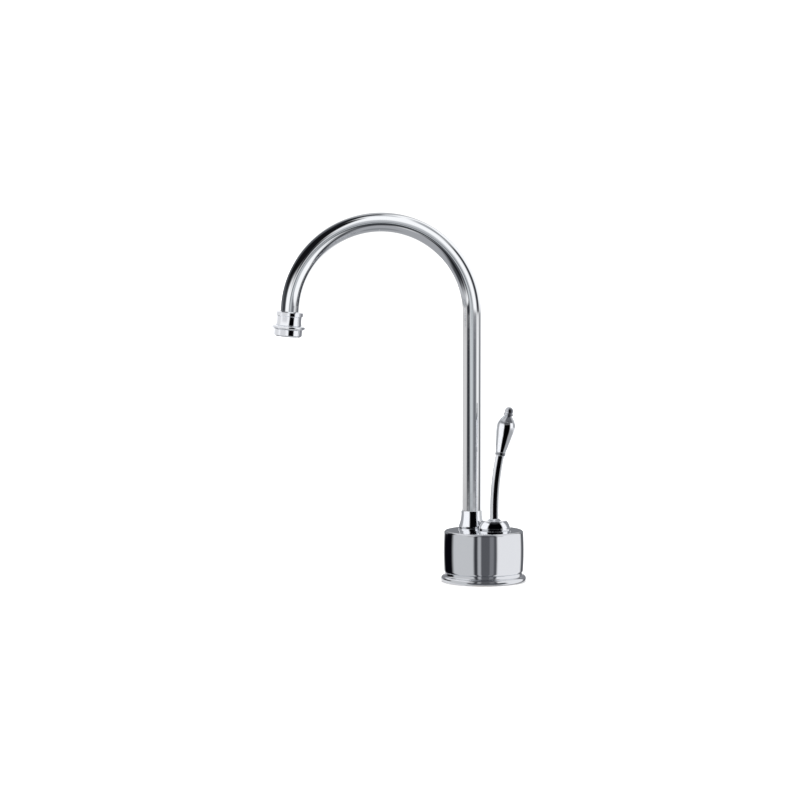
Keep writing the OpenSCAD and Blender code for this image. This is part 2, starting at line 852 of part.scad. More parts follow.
// The two O-rings that seal the spout in its socket
module spout_o_rings() {
    color(rubber)
        at_spout()
            for (i = [0, 1])
                translate([0, 0, o_ring_z(i)])
                    rotate_extrude()
                        translate([tube_r - o_ring_t / 2, 0])
                            circle(r = o_ring_t / 2);
}

// Ring in the tube's groove that keeps the spout in the collar
module retaining_ring() {
    color(steel)
        at_spout()
            ring(retainer_r, tube_r - retainer_grip, retainer_z, retainer_t);
}

// Ringed body of the nozzle
module nozzle_body() {
    ring_r = nozzle_ring_d / 2;
    barrel_r = nozzle_barrel_d / 2;
    bead_r = nozzle_bead_l / 2;
    bead_mid_r = nozzle_bead_d / 2 - bead_r;
    groove_r = barrel_r - nozzle_groove;
    spigot_r = tube_bore_r - free_gap;
    top_r = nozzle_shoulder_d / 2;
    chamfer = nozzle_chamfer;
    color(chrome)
        at_nozzle()
            rotate_extrude()
                union() {
                    polygon(concat(
                        [[nozzle_bore_r, -nozzle_spigot_l], [spigot_r, -nozzle_spigot_l],
                         [spigot_r, 0], [tube_r, 0], [tube_r, nozzle_s], [top_r, nozzle_s],
                         [ring_r - chamfer, ring_s], [ring_r, ring_s + chamfer],
                         [ring_r, barrel_s - chamfer], [ring_r - chamfer, barrel_s],
                         [groove_r, barrel_s]],
                        bow([groove_r, barrel_s], [barrel_r, bead_s - chamfer], nozzle_barrel_hollow),
                        [[groove_r, bead_s], [bead_mid_r, bead_s], [bead_mid_r, tip_s],
                         [nozzle_thread_r, tip_s], [nozzle_thread_r, thread_end_s],
                         [nozzle_bore_r, thread_end_s]]
                    ));
                    translate([bead_mid_r, bead_s + bead_r])
                        circle(r = bead_r);
                }
}

// Rubber washer between the nozzle's thread and the aerator
module nozzle_washer() {
    color(rubber)
        at_nozzle()
            ring(nozzle_thread_r, nozzle_bore_r, thread_end_s, nozzle_washer_t);
}

// Perforated plate that straightens the water
module aerator_plate() {
    color(grey_plastic)
        at_nozzle()
            difference() {
                rod(nozzle_thread_r, aerator_s, aerator_t);
                rod(aerator_hole_d / 2, aerator_s - past, aerator_t + 2 * past);
                for (i = [1 : aerator_rings])
                    for (j = [0 : 6 * i - 1])
                        rotate([0, 0, 60 * j / i])
                            translate([aerator_pitch * i, 0, 0])
                                rod(aerator_hole_d / 2, aerator_s - past, aerator_t + 2 * past);
            }
}

// Tip that screws onto the nozzle and holds the aerator
module nozzle_tip() {
    r = nozzle_tip_d / 2;
    outlet_r = outlet_d / 2;
    edge = nozzle_tip_edge_r;
    color(chrome)
        at_nozzle()
            rotate_extrude()
                polygon(concat(
                    [[nozzle_thread_r, tip_s], [r - nozzle_groove, tip_s],
                     [r, tip_s + nozzle_groove], [r, tip_end_s - edge]],
                    quarter_round([r, tip_end_s - edge], [r - edge, tip_end_s]),
                    [[outlet_r, tip_end_s], [outlet_r, lip_s], [nozzle_thread_r, lip_s]]
                ));
}

// Ball of the lever, with the foot that drives the disc carrier
module lever_ball() {
    stem_r = foot_stem_d / 2;
    color(chrome)
        at_hub()
            translate([0, 0, pivot_z])
                difference() {
                    union() {
                        intersection() {
                            sphere(r = ball_r);
                            rod(ball_r + past, -ball_cut, ball_cut + ball_flat);
                        }
                        rod(stem_r, -foot_l, foot_l);
                        translate([0, 0, -foot_l])
                            sphere(r = foot_r);
                    }
                    rotate([90, 0, 0])
                        cylinder(r = pin_d / 2, h = ball_d + 2 * past, center = true);
                    rod(rod_thread_d / 2, ball_flat - rod_thread_l, rod_thread_l + past);
                }
}

// Pin that the lever tilts on
module pivot_pin() {
    color(steel)
        translate([hub_x, 0, pivot_z])
            rotate([90, 0, 0])
                cylinder(r = pin_d / 2, h = tower_d - 2 * free_gap, center = true);
}

// Rod of the lever, upright first and then bent away from the spout
module lever_rod() {
    foot_z = pivot_z + ball_flat;
    color(chrome) {
        at_hub() {
            rod(rod_d / 2, foot_z, rod_bend_z - foot_z);
            rod(rod_thread_d / 2, foot_z - rod_thread_l, rod_thread_l);
        }
        translate([hub_x + rod_bend_r, 0, rod_bend_z])
            mirror([1, 0, 0])
                rotate([90, 0, 0])
                    rotate_extrude(angle = rod_lean)
                        translate([rod_bend_r, 0])
                            circle(r = rod_d / 2);
        at_grip()
            rod(rod_thread_d / 2, -past, grip_thread_l + past);
    }
}

// Ring between the rod and the grip
module grip_ferrule() {
    r = ferrule_d / 2;
    edge = ferrule_edge_r;
    color(chrome)
        at_grip()
            rotate_extrude()
                polygon(concat(
                    [[rod_thread_d / 2, 0], [r - edge, 0]],
                    quarter_round([r - edge, 0], [r, edge]),
                    [[r, ferrule_l - edge]],
                    quarter_round([r, ferrule_l - edge], [r - edge, ferrule_l]),
                    [[rod_thread_d / 2, ferrule_l]]
                ));
}

// Vase-shaped grip
module lever_grip() {
    foot_r = grip_foot_d / 2;
    mid_r = grip_mid_d / 2;
    wide_r = grip_d / 2;
    top_r = grip_shoulder_d / 2;
    color(chrome)
        at_grip()
            difference() {
                rotate_extrude()
                    polygon(concat(
                        [[0, grip_s], [foot_r, grip_s]],
                        bow([foot_r, grip_s], [mid_r, grip_mid_s], -grip_foot_bulge),
                        bow([mid_r, grip_mid_s], [wide_r, grip_wide_s], -grip_swell_bulge),
                        bow([wide_r, grip_wide_s], [top_r, finial_s], -grip_shoulder_bulge),
                        [[0, finial_s]]
                    ));
                rod(rod_thread_d / 2, grip_s - past, grip_thread_l - grip_s + past);
                rod(finial_thread_d / 2, finial_s - finial_thread_l, finial_thread_l + past);
            }
}

// Turned finial: bell, neck, disc and ball
module finial() {
    ball_r = finial_ball_d / 2;
    ball_s = finial_s + bell_h + disc_h + ball_r - finial_ball_sink;
    disc_r = disc_h / 2;
    color(chrome)
        at_grip() {
            rotate_extrude()
                union() {
                    polygon(concat(
                        [[0, finial_s], [bell_d / 2, finial_s]],
                        bow([bell_d / 2, finial_s], [neck_d / 2, finial_s + bell_h], -bell_bulge),
                        [[neck_d / 2, ball_s], [0, ball_s]]
                    ));
                    translate([disc_d / 2 - disc_r, finial_s + bell_h + disc_r])
                        circle(r = disc_r);
                    translate([0, finial_s + bell_h])
                        square([disc_d / 2 - disc_r, disc_h]);
                }
            translate([0, 0, ball_s])
                sphere(r = ball_r);
            rod(finial_thread_d / 2, finial_s - finial_thread_l, finial_thread_l);
        }
}

// Plastic carrier that the lever's foot pushes to and fro
module disc_carrier() {
    color(white_plastic)
        at_hub()
            difference() {
                union() {
                    translate([disc_shift, 0, 0])
                        rod(moving_disc_d / 2, carrier_z, carrier_flange_t);
                    rod(carrier_neck_r, carrier_z, carrier_top_z - carrier_z);
                }
                rod(carrier_bore_r, carrier_flange_z, carrier_top_z - carrier_flange_z + past);
            }
}

// Ceramic disc that slides, with the channel that joins the ports
module moving_disc() {
    left = -port_in_out + port_r + channel_land;
    color(ceramic)
        at_hub()
            difference() {
                translate([disc_shift, 0, 0])
                    rod(moving_disc_d / 2, moving_z, moving_disc_t);
                translate([left, -channel_front, moving_z - past])
                    cube([channel_l, port_out_y + port_r + channel_front, channel_t + past]);
            }
}

base_ring();
deck_gasket();
body_shell();
manifold();
spout_collar();
spout_bush();
cartridge_seal();
cartridge_base();
fixed_disc();
cartridge_housing();
ball_seat();
bonnet();
shank();
rubber_washer();
steel_washer();
mounting_nut();
inlet_tube();
inlet_fitting();
spout_tube();
spout_stem();
spout_o_rings();
retaining_ring();
nozzle_body();
nozzle_washer();
aerator_plate();
nozzle_tip();
lever_ball();
pivot_pin();
lever_rod();
grip_ferrule();
lever_grip();
finial();
disc_carrier();
moving_disc();
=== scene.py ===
from math import atan2, cos, pi, radians, sin, sqrt, tan

import bpy
from mathutils import Matrix, Vector


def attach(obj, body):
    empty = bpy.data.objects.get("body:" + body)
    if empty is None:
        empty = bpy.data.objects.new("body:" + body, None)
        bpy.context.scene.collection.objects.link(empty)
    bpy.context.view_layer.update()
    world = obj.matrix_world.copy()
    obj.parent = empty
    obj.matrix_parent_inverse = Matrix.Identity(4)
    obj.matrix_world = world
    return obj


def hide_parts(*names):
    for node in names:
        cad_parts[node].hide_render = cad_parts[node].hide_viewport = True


# A cold water dispenser tap in polished chrome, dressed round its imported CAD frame.
# The sections follow the tap as it is put together, from the deck up. Sizes are
# millimetres unless a name says otherwise, and every finished mesh is in metres.
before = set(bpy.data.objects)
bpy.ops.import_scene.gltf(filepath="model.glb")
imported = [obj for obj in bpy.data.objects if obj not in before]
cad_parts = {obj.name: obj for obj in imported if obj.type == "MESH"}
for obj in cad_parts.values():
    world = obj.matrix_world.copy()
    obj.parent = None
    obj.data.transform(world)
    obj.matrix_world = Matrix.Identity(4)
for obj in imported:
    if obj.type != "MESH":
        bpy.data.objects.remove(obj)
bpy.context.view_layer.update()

# ---- Camera ---------------------------------------------------------------------
# A long lens three metres off that looks nearly five degrees down, square to the plane
# that the spout bends in.
view_distance = 3.0
view_pitch = radians(4.9)
view_target = Vector((-0.0708, 0.0, 0.1537))
lens_mm, sensor_mm = 160.1, 36.0

camera_data = bpy.data.cameras.new("long_lens")
camera_data.lens = lens_mm
camera_data.sensor_width = sensor_mm
camera_data.clip_end = 20 * view_distance
camera = bpy.data.objects.new("long_lens", camera_data)
back_off = Vector((0.0, -cos(view_pitch), sin(view_pitch))) * view_distance
camera.location = view_target + back_off
camera.rotation_euler = (pi / 2 - view_pitch, 0.0, 0.0)
bpy.context.collection.objects.link(camera)
bpy.context.scene.camera = camera
bpy.context.scene.view_settings.view_transform = "Standard"


# ---- Studio ---------------------------------------------------------------------
# Polished chrome shows nothing but its surroundings, so it is photographed in a dark
# tent, and each group of pieces is lit by sheets of its own. The tent is the world, the
# sheets are cards that only reflections see, and what the camera sees behind is white.
def linear(code):
    """Linear colour of an sRGB hex code."""
    channels = [int(code[i:i + 2], 16) / 255 for i in (1, 3, 5)]
    return [c / 12.92 if c <= 0.04045 else ((c + 0.055) / 1.055) ** 2.4
            for c in channels] + [1.0]


def fill(tree, node, inputs):
    """Sets or links a node's inputs, by name or in order.

    A node that is given as an input stands for its first output.
    """
    for socket, value in enumerate(inputs) if isinstance(inputs, list) else inputs.items():
        if isinstance(value, bpy.types.Node):
            value = value.outputs[0]
        if isinstance(value, bpy.types.NodeSocket):
            tree.links.new(value, node.inputs[socket])
        else:
            node.inputs[socket].default_value = value


def add(tree, kind, settings=None, inputs=None):
    """A node with its settings and its inputs."""
    made = tree.nodes.new(kind)
    for name, value in (settings or {}).items():
        setattr(made, name, value)
    fill(tree, made, inputs or {})
    return made


def draped(tree, direction, backdrop, sheets):
    """Colour of a backdrop and its sheets, by the direction that they are seen in.

    A sheet has a name; the middle, half width and edge softness of its azimuth, 0
    towards the camera and 90 to the right; the same three of its elevation, all in
    degrees; and its grey. A later sheet hangs in front of the others.
    """
    unit = add(tree, "ShaderNodeVectorMath", {"operation": "NORMALIZE"}, [direction])
    axes = add(tree, "ShaderNodeSeparateXYZ", inputs=[unit]).outputs
    nearer = add(tree, "ShaderNodeMath", {"operation": "MULTIPLY"}, [axes["Y"], -1.0])
    azimuth = add(tree, "ShaderNodeMath", {"operation": "ARCTAN2"}, [axes["X"], nearer])
    elevation = add(tree, "ShaderNodeMath", {"operation": "ARCSINE"}, [axes["Z"]])
    colour = linear(backdrop)
    for name, az, az_half, az_soft, el, el_half, el_soft, code in sheets:
        aside = add(tree, "ShaderNodeMath", {"operation": "SUBTRACT"}, [azimuth, radians(az)])
        around = add(tree, "ShaderNodeMath", {"operation": "WRAP"}, [aside, pi, -pi])
        above = add(tree, "ShaderNodeMath", {"operation": "SUBTRACT"}, [elevation, radians(el)])
        cover = 1.0
        for off, half, soft in ((around, az_half, az_soft), (above, el_half, el_soft)):
            distance = add(tree, "ShaderNodeMath", {"operation": "ABSOLUTE"}, [off])
            share = add(tree, "ShaderNodeMapRange", {"interpolation_type": "SMOOTHSTEP"}, {
                "Value": distance,
                "From Min": radians(half - soft), "From Max": radians(half + soft),
                "To Min": 1.0, "To Max": 0.0})
            cover = add(tree, "ShaderNodeMath", {"operation": "MULTIPLY"}, [share, cover])
        colour = add(tree, "ShaderNodeMix", {"data_type": "RGBA", "label": name}, {
            0: cover, 6: colour, 7: linear(code)}).outputs[2]
    return colour


# The chrome gives back about five sixths of what it sees, so a white sheet is brighter
# than white by as much.
tent_light = 1.15
world = bpy.data.worlds.new("tent")
bpy.context.scene.world = world
world.use_nodes = True
tent = world.node_tree
tent.nodes.clear()
ray = add(tent, "ShaderNodeLightPath").outputs
sees_white = add(tent, "ShaderNodeMath", {"operation": "MAXIMUM"}, [
    ray["Is Camera Ray"], ray["Is Diffuse Ray"]])
seen = add(tent, "ShaderNodeMix", {"data_type": "RGBA"}, {
    0: sees_white, 6: linear("#020203"), 7: linear("#FFFFFF")}).outputs[2]
glow = add(tent, "ShaderNodeBackground", inputs={"Color": seen, "Strength": tent_light})
add(tent, "ShaderNodeOutputWorld", inputs={"Surface": glow})

room_centre = (0.0, 0.0, 0.15)


def light_room(name, half, backdrop, sheets):
    """A room of light for the pieces that are linked to the collection it gives back.

    Only reflections see it, and it hides nothing: it adds its light to what is behind.
    No two rooms have the same half size, so that no two walls lie in one place. A
    reflection passes through no more than eight, so nine rooms are the most.
    """
    corners = [(x, y, z) for x in (-half, half) for y in (-half, half) for z in (-half, half)]
    faces = [(0, 1, 3, 2), (4, 6, 7, 5), (0, 4, 5, 1), (2, 3, 7, 6), (0, 2, 6, 4), (1, 5, 7, 3)]
    mesh = bpy.data.meshes.new(name)
    mesh.from_pydata(corners, [], faces)
    room = bpy.data.objects.new(name, mesh)
    room.location = room_centre
    bpy.context.collection.objects.link(room)
    paint = bpy.data.materials.new(name)
    paint.use_nodes = True
    tree = paint.node_tree
    tree.nodes.clear()
    direction = add(tree, "ShaderNodeTexCoord").outputs["Object"]
    shine = add(tree, "ShaderNodeEmission", inputs={
        "Color": draped(tree, direction, backdrop, sheets), "Strength": tent_light})
    behind = add(tree, "ShaderNodeBsdfTransparent")
    both = add(tree, "ShaderNodeAddShader", inputs=[behind, shine])
    add(tree, "ShaderNodeOutputMaterial", inputs={"Surface": both})
    mesh.materials.append(paint)
    room.visible_camera = False
    room.visible_diffuse = False
    room.visible_shadow = False
    room.visible_transmission = False
    room.light_linking.receiver_collection = bpy.data.collections.new(name)
    return room.light_linking.receiver_collection


# The gooseneck has a black flag behind its left shoulder, a grey one on the right, white
# between them, a grey floor, and a row of dark slots where that floor begins. The last
# six sheets are at the height that only the upright part of the tube reflects.
all_round = (0, 180, 1)
riser_band = (-5, 2.6, 1.4)
gooseneck_light = light_room("gooseneck_light", 8.0, "#FFFFFF", [
    ("rear", -164, 34, 8, 6, 68, 8, "#B6B7B9"),
    ("roof", *all_round, 90, 11, 4, "#C6C7C9"),
    ("rear roof", -128, 54, 12, 74, 12, 6, "#5A5B5E"),
    ("lower left", -88, 72, 8, -40, 27, 6, "#A4A5A8"),
    ("left shelf", -112, 50, 8, -13, 9, 5, "#BABBBD"),
    ("floor", *all_round, -62, 24, 5, "#A2A3A6"),
    ("floor below", *all_round, -88, 12, 5, "#86888B"),
    ("right roof", 100, 36, 12, 61, 9, 6, "#AEB0B3"),
    ("right flag", 77, 18, 9, 19, 26, 9, "#3A3C40"),
    ("right flag top", 88, 15, 12, 51, 8, 6, "#85878A"),
    ("right flag low", 101, 26, 10, -23, 20, 8, "#2C2E32"),
    ("left fade", -128, 26, 14, 38, 44, 12, "#595B5F"),
    ("left flag low", -84, 26, 9, 7, 15, 7, "#3C3E41"),
    ("left flag", -69.5, 44.5, 7, 41, 28, 7, "#111113"),
    ("left flag top", -104, 38, 10, 67, 10, 6, "#1C1D20"),
    ("left flag tongue", -24, 9, 5, 15, 9, 5, "#303134"),
    ("middle grey", 3, 16, 8, 4, 25, 9, "#B6B8BB"),
    ("middle dark", -3, 10, 6, -14, 17, 8, "#36383C"),
    ("slot left", -68, 27, 9, -28, 9, 6, "#404245"),
    ("slot middle", -34, 20, 6, -23, 9, 5, "#1E1F22"),
    ("slot near", -18, 12, 6, -12, 7, 4, "#505256"),
    ("slot right", 1, 9, 6, -30, 9, 5, "#3E4043"),
    ("slot rising", 15, 9, 6, -36, 7, 4, "#484A4E"),
    ("slot far", 64, 44, 8, -46, 7, 5, "#3E4044"),
    ("riser left", -112, 68, 6, *riser_band, "#D2D0CF"),
    ("riser line", -45, 20, 10, *riser_band, "#34363A"),
    ("riser middle", -5, 15, 6, *riser_band, "#C6CACC"),
    ("riser grey", 34, 20, 10, *riser_band, "#707276"),
    ("riser white", 76, 16, 6, *riser_band, "#F2F2F2"),
    ("riser right", 114, 12, 6, *riser_band, "#6E7074"),
])

# The drum and the foot show the same stripes: black at the left, light grey, a dark
# middle with two finer lines in it, and white at the right. The low black sheet in front
# is seen only by way of the drum's top, where it carries the bonnet's stripe down.
stripe_band = (-20, 60, 8)
stripes = [
    ("left grey", -68, 43, 5, *stripe_band, "#C1C2C4"),
    ("front", 4, 34, 4, *stripe_band, "#505155"),
    ("dark line", -22.5, 4, 3, *stripe_band, "#36373A"),
    ("light line", -13.5, 5, 3.5, *stripe_band, "#A8A9AC"),
    ("dark middle", 4.5, 11.5, 3.5, *stripe_band, "#55565A"),
    ("grey middle", 22, 6, 3, *stripe_band, "#77787C"),
    ("right white", 84, 45, 5, *stripe_band, "#E5E5E7"),
    ("dark right", 146, 12, 5, *stripe_band, "#56575B"),
]
drum_light = light_room("drum_light", 8.1, "#D3D3D5", [
    *stripes,
    ("roof", *all_round, 84, 16, 5, "#85868A"),
    ("black left", -128, 27, 8, -22, 58, 6, "#06060A"),
    ("grey left upper", -146, 18, 8, 26, 8, 5, "#6A6B6F"),
    ("black left low", -140, 34, 8, -38, 20, 6, "#08080B"),
    ("front upper", 12, 34, 8, 62, 28, 8, "#5E5F63"),
    ("rear scrim", 180, 48, 6, 8, 10, 4, "#7A7C80"),
    ("front black", 4, 52, 6, 8.5, 5, 2, "#040406"),
])
foot_light = light_room("foot_light", 8.2, "#D6D6D8", [
    *stripes,
    ("black left", -124, 22, 6, 6, 11, 5, "#060608"),
    ("left sky", -80, 34, 8, 44, 9, 5, "#E6E6E8"),
    ("rear grey", 180, 42, 8, 10, 13, 6, "#808185"),
    ("front high", 2, 56, 8, 57, 16, 5, "#393A3E"),
    ("low right", 52, 11, 6, -18, 20, 5, "#56575B"),
    ("front low", 12, 62, 6, -48, 26, 5, "#6A6B6F"),
    ("front bead", 5, 52, 5, -23, 21, 4, "#494A4D"),
    ("roof", *all_round, 84, 15, 6, "#444549"),
])

# The turned pieces each see a black front between white sides, with greyer rims. The
# nozzle's and the collar's are narrow, the bonnet's is wide, and the finial's is soft,
# so it also serves what isn't plated, apart from the gasket.
nozzle_light = light_room("nozzle_light", 8.3, "#F8F8FA", [
    ("left scrim", -106, 24, 10, 0, 40, 8, "#DEDEE0"),
    ("left grey", -42, 24, 10, -4, 13, 8, "#DADADC"),
    ("right flag", 128, 26, 9, 5, 32, 8, "#87888C"),
    ("upper left", -20, 78, 10, 43, 8, 5, "#BCBDBF"),
    ("low", *all_round, -35, 9, 4, "#7E7F83"),
    ("floor", *all_round, -72, 20, 6, "#A9AAAC"),
    ("upper black", 38, 26, 8, 44, 24, 7, "#3A3B3E"),
    ("black front", 24.5, 22.5, 6, -4, 29, 7, "#000000"),
])
collar_light = light_room("collar_light", 8.4, "#FCFCFE", [
    ("left rim", -126, 30, 10, 10, 50, 8, "#9B9C9F"),
    ("right rim", 118, 24, 10, 10, 50, 8, "#C4C5C7"),
    ("floor", *all_round, -52, 38, 6, "#AEAFB2"),
    ("roof", *all_round, 80, 18, 8, "#C0C1C3"),
    ("black front", 17, 41, 9, 12, 60, 8, "#020203"),
])
bonnet_light = light_room("bonnet_light", 8.5, "#FCFCFE", [
    ("left rim", -144, 24, 10, 8, 42, 8, "#9C9DA0"),
    ("right rim", 132, 26, 10, 8, 42, 8, "#888A8E"),
    ("roof sides", 0, 125, 10, 63, 14, 6, "#9A9B9E"),
    ("roof front", 4, 62, 14, 66, 13, 6, "#38393C"),
    ("rear roof", 180, 60, 10, 60, 24, 8, "#8E8F92"),
    ("floor", *all_round, -62, 32, 6, "#9B9C9F"),
    ("black front", 5, 59, 6, 12, 46, 7, "#000000"),
])
rod_light = light_room("rod_light", 8.6, "#EAEAEC", [
    ("left scrim", -105, 45, 10, -8, 8, 4, "#C2C3C5"),
    ("right scrim", 85, 28, 10, -14, 12, 5, "#B6B7B9"),
    ("black front", 11, 58, 14, -6, 50, 10, "#040405"),
])
grip_light = light_room("grip_light", 8.7, "#FCFCFE", [
    ("left rim", -114, 22, 10, 0, 40, 8, "#ACADAF"),
    ("right rim", 118, 22, 8, 2, 16, 6, "#9D9EA1"),
    ("lower right", 88, 42, 8, -33, 15, 6, "#A5A6A9"),
    ("upper", -20, 120, 12, 46, 20, 8, "#87888C"),
    ("upper front", 14, 42, 10, 31, 12, 6, "#525356"),
    ("black front", 14, 38, 8, -14, 36, 9, "#000000"),
])
finial_light = light_room("finial_light", 8.8, "#BCBDC0", [
    ("left", -84, 34, 12, -5, 28, 8, "#DCDCDE"),
    ("left line", -72, 48, 12, 2, 6, 4, "#86878A"),
    ("front grey", 40, 66, 22, 10, 88, 10, "#606165"),
    ("black front", 19, 28, 10, 0, 46, 10, "#000000"),
])

# The floor is matt white card, burnt out by a wide overhead light. The chrome sees
# neither of the two.
floor_half = 6.0
overhead_strength, overhead_spread = 2.2, radians(80)
floor_mesh = bpy.data.meshes.new("white_floor")
floor_mesh.from_pydata(
    [(-floor_half, -floor_half, 0), (floor_half, -floor_half, 0),
     (floor_half, floor_half, 0), (-floor_half, floor_half, 0)], [], [(0, 1, 2, 3)])
floor = bpy.data.objects.new("white_floor", floor_mesh)
bpy.context.collection.objects.link(floor)
floor_paint = bpy.data.materials.new("matt_white_card")
floor_paint.use_nodes = True
fill(floor_paint.node_tree, floor_paint.node_tree.nodes["Principled BSDF"], {
    "Base Color": linear("#F4F4F4"), "Roughness": 0.9})
floor_mesh.materials.append(floor_paint)
floor.visible_glossy = False

overhead_data = bpy.data.lights.new("overhead_light", "SUN")
overhead_data.energy = overhead_strength
overhead_data.angle = overhead_spread
overhead = bpy.data.objects.new("overhead_light", overhead_data)
overhead.visible_glossy = False
bpy.context.collection.objects.link(overhead)


# ---- Foot ring ------------------------------------------------------------------
# A turned brass ring, plated with nickel and chrome and buffed. A round bead rests on
# the deck, a shallow cove leads up to the body, the thin lip inside centres the body's
# wall, and a groove underneath holds the rubber gasket.
def bow(a, b, h, steps=12):
    """Points of a circular arc from a to b that bows out by h to the left, without a."""
    along = Vector(b) - Vector(a)
    length = along.length
    along.normalize()
    left = Vector((-along.y, along.x))
    r = (length * length / 4 + h * h) / (2 * h)
    half = 2 * atan2(2 * h, length)
    centre = (Vector(a) + Vector(b)) / 2 - left * (r - h)
    turns = [-half + 2 * half * i / steps for i in range(1, steps + 1)]
    return [(*(centre + r * (sin(t) * along + cos(t) * left)), 0) for t in turns]


def arc(centre, r, first, last, steps=16):
    """Points of a circular arc from one angle to another, in degrees, ends included."""
    turns = [radians(first + (last - first) * i / steps) for i in range(steps + 1)]
    return [(centre[0] + r * cos(t), centre[1] + r * sin(t), 0) for t in turns]


def rounded(corners, hold=0.12, steps=5):
    """Outline of (radius, height, fillet) corners with each fillet drawn as an arc.

    A held point beside each fillet keeps the flat next to it flat under smooth shading.
    """
    points = []
    for k, (r, z, fillet) in enumerate(corners):
        here = Vector((r, z))
        if not fillet:
            points.append(here)
            continue
        sides = [Vector(corners[k - 1][:2]) - here,
                 Vector(corners[(k + 1) % len(corners)][:2]) - here]
        room = [side.length for side in sides]
        for side in sides:
            side.normalize()
        half = sides[0].angle(sides[1]) / 2
        reach = fillet / tan(half)
        centre = here + (sides[0] + sides[1]).normalized() * fillet / sin(half)
        ends = [here + side * reach for side in sides]
        start, end = [(point - centre).normalized() for point in ends]
        if room[0] > reach + 3 * hold:
            points.append(ends[0] + sides[0] * hold)
        for i in range(steps + 1):
            points.append(centre + start.slerp(end, i / steps) * fillet)
        if room[1] > reach + 3 * hold:
            points.append(ends[1] + sides[1] * hold)
    return points


def smooth(mesh, sharp=32):
    """Smooth shading, broken at the edges that turn by more than sharp degrees."""
    mesh.shade_smooth()
    mesh.set_sharp_from_angle(angle=radians(sharp))


def turned(name, corners, around=160, step=None):
    """A piece off the lathe, from its closed outline, run counter-clockwise.

    A step cuts the outline into parts of about that length, for what is bent later.
    """
    outline = rounded(corners)
    if step:
        fine = []
        for a, b in zip(outline, outline[1:] + outline[:1]):
            parts = max(1, round((b - a).length / step))
            fine += [a.lerp(b, i / parts) for i in range(parts)]
        outline = fine
    on_axis = 1e-6
    rings, points = [], []
    for r, z in outline:
        if r < on_axis:
            rings.append([len(points)] * around)
            points.append((0.0, 0.0, z / 1000))
        else:
            rings.append(range(len(points), len(points) + around))
            points += [(r * cos(2 * pi * j / around) / 1000,
                        r * sin(2 * pi * j / around) / 1000, z / 1000)
                       for j in range(around)]
    faces = []
    for low, high in zip(rings, rings[1:] + rings[:1]):
        for j in range(around):
            n = (j + 1) % around
            face = list(dict.fromkeys((low[j], low[n], high[n], high[j])))
            if len(face) > 2:
                faces.append(face)
    mesh = bpy.data.meshes.new(name)
    mesh.from_pydata(points, [], faces)
    smooth(mesh)
    piece = bpy.data.objects.new(name, mesh)
    bpy.context.collection.objects.link(piece)
    return piece


def blank_finish(name):
    """A new material, its node tree, and where a point lies on the piece."""
    material = bpy.data.materials.new(name)
    material.use_nodes = True
    tree = material.node_tree
    return material, tree, add(tree, "ShaderNodeTexCoord").outputs["Object"]


def dress(piece, material, room):
    """Gives a piece its one finish and hangs it in the room that lights it."""
    piece.data.materials.clear()
    piece.data.materials.append(material)
    room.objects.link(piece)


# Buffed chrome plate: a mirror with a cool tint. The buffing wheel leaves the faintest
# waves a few millimetres long, and a haze of hairlines that only blurs the sharpest
# reflections, so both are far finer than the shapes that they reflect.
micron = 1e-6
haze_size, wave_size = 1.4, 9.0
chrome, tree, place = blank_finish("buffed_chrome_plate")
haze = add(tree, "ShaderNodeTexNoise", inputs={
    "Vector": place, "Scale": 1000 / haze_size, "Detail": 4.0})
blur = add(tree, "ShaderNodeMapRange", inputs={
    "Value": haze, "From Min": 0.3, "From Max": 0.7, "To Min": 0.02, "To Max": 0.06})
waves = add(tree, "ShaderNodeTexNoise", inputs={
    "Vector": place, "Scale": 1000 / wave_size, "Detail": 1.0})
relief = add(tree, "ShaderNodeBump", inputs={
    "Height": waves, "Strength": 1.0, "Distance": 12 * micron})
fill(tree, tree.nodes["Principled BSDF"], {
    "Base Color": linear("#E9EBEE"), "Metallic": 1.0, "Roughness": blur, "Normal": relief})

shank_hole_r = 11.2
groove_in, groove_out, groove_h = 25.5, 30.0, 2.0
bead_x, bead_r = 33.5, 2.5
body_foot_r, foot_top = 32.7, 7.6
lip_in, lip_out, lip_top = 28.6, 31.0, 9.6
foot_ring = turned("foot_ring", [
    (shank_hole_r, 0, 0.2), (groove_in, 0, 0), (groove_in, groove_h, 0),
    (groove_out, groove_h, 0), (groove_out, 0, 0),
    *arc((bead_x, bead_r), bead_r, -90, 88, 28),
    *bow((bead_x, 2 * bead_r), (body_foot_r, foot_top), 0.15, 8),
    (lip_out, foot_top, 0), (lip_out, lip_top, 0.25), (lip_in, lip_top, 0.25),
    (lip_in, foot_top, 0), (shank_hole_r, foot_top, 0.2),
], around=192)
dress(foot_ring, chrome, foot_light)
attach(foot_ring, "base")
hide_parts("base_ring")

# ---- Deck gasket ----------------------------------------------------------------
# A flat ring cut from black EPDM rubber. It lies in the foot's groove and keeps water
# from running under the tap. Talc leaves a grey bloom on it, over a fine matt grain.
talc_size, grain_size = 3.0, 0.35
rubber, tree, place = blank_finish("matt_epdm_rubber")
talc = add(tree, "ShaderNodeTexNoise", inputs={
    "Vector": place, "Scale": 1000 / talc_size, "Detail": 6.0})
bloom = add(tree, "ShaderNodeMix", {"data_type": "RGBA"}, {
    0: talc, 6: linear("#161617"), 7: linear("#2A2A2B")}).outputs[2]
dull = add(tree, "ShaderNodeMapRange", inputs={"Value": talc, "To Min": 0.62, "To Max": 0.86})
grain = add(tree, "ShaderNodeTexNoise", inputs={
    "Vector": place, "Scale": 1000 / grain_size, "Detail": 3.0})
relief = add(tree, "ShaderNodeBump", inputs={
    "Height": grain, "Strength": 0.6, "Distance": 40 * micron})
fill(tree, tree.nodes["Principled BSDF"], {
    "Specular IOR Level": 0.4, "IOR": 1.52,
    "Base Color": bloom, "Roughness": dull, "Normal": relief})

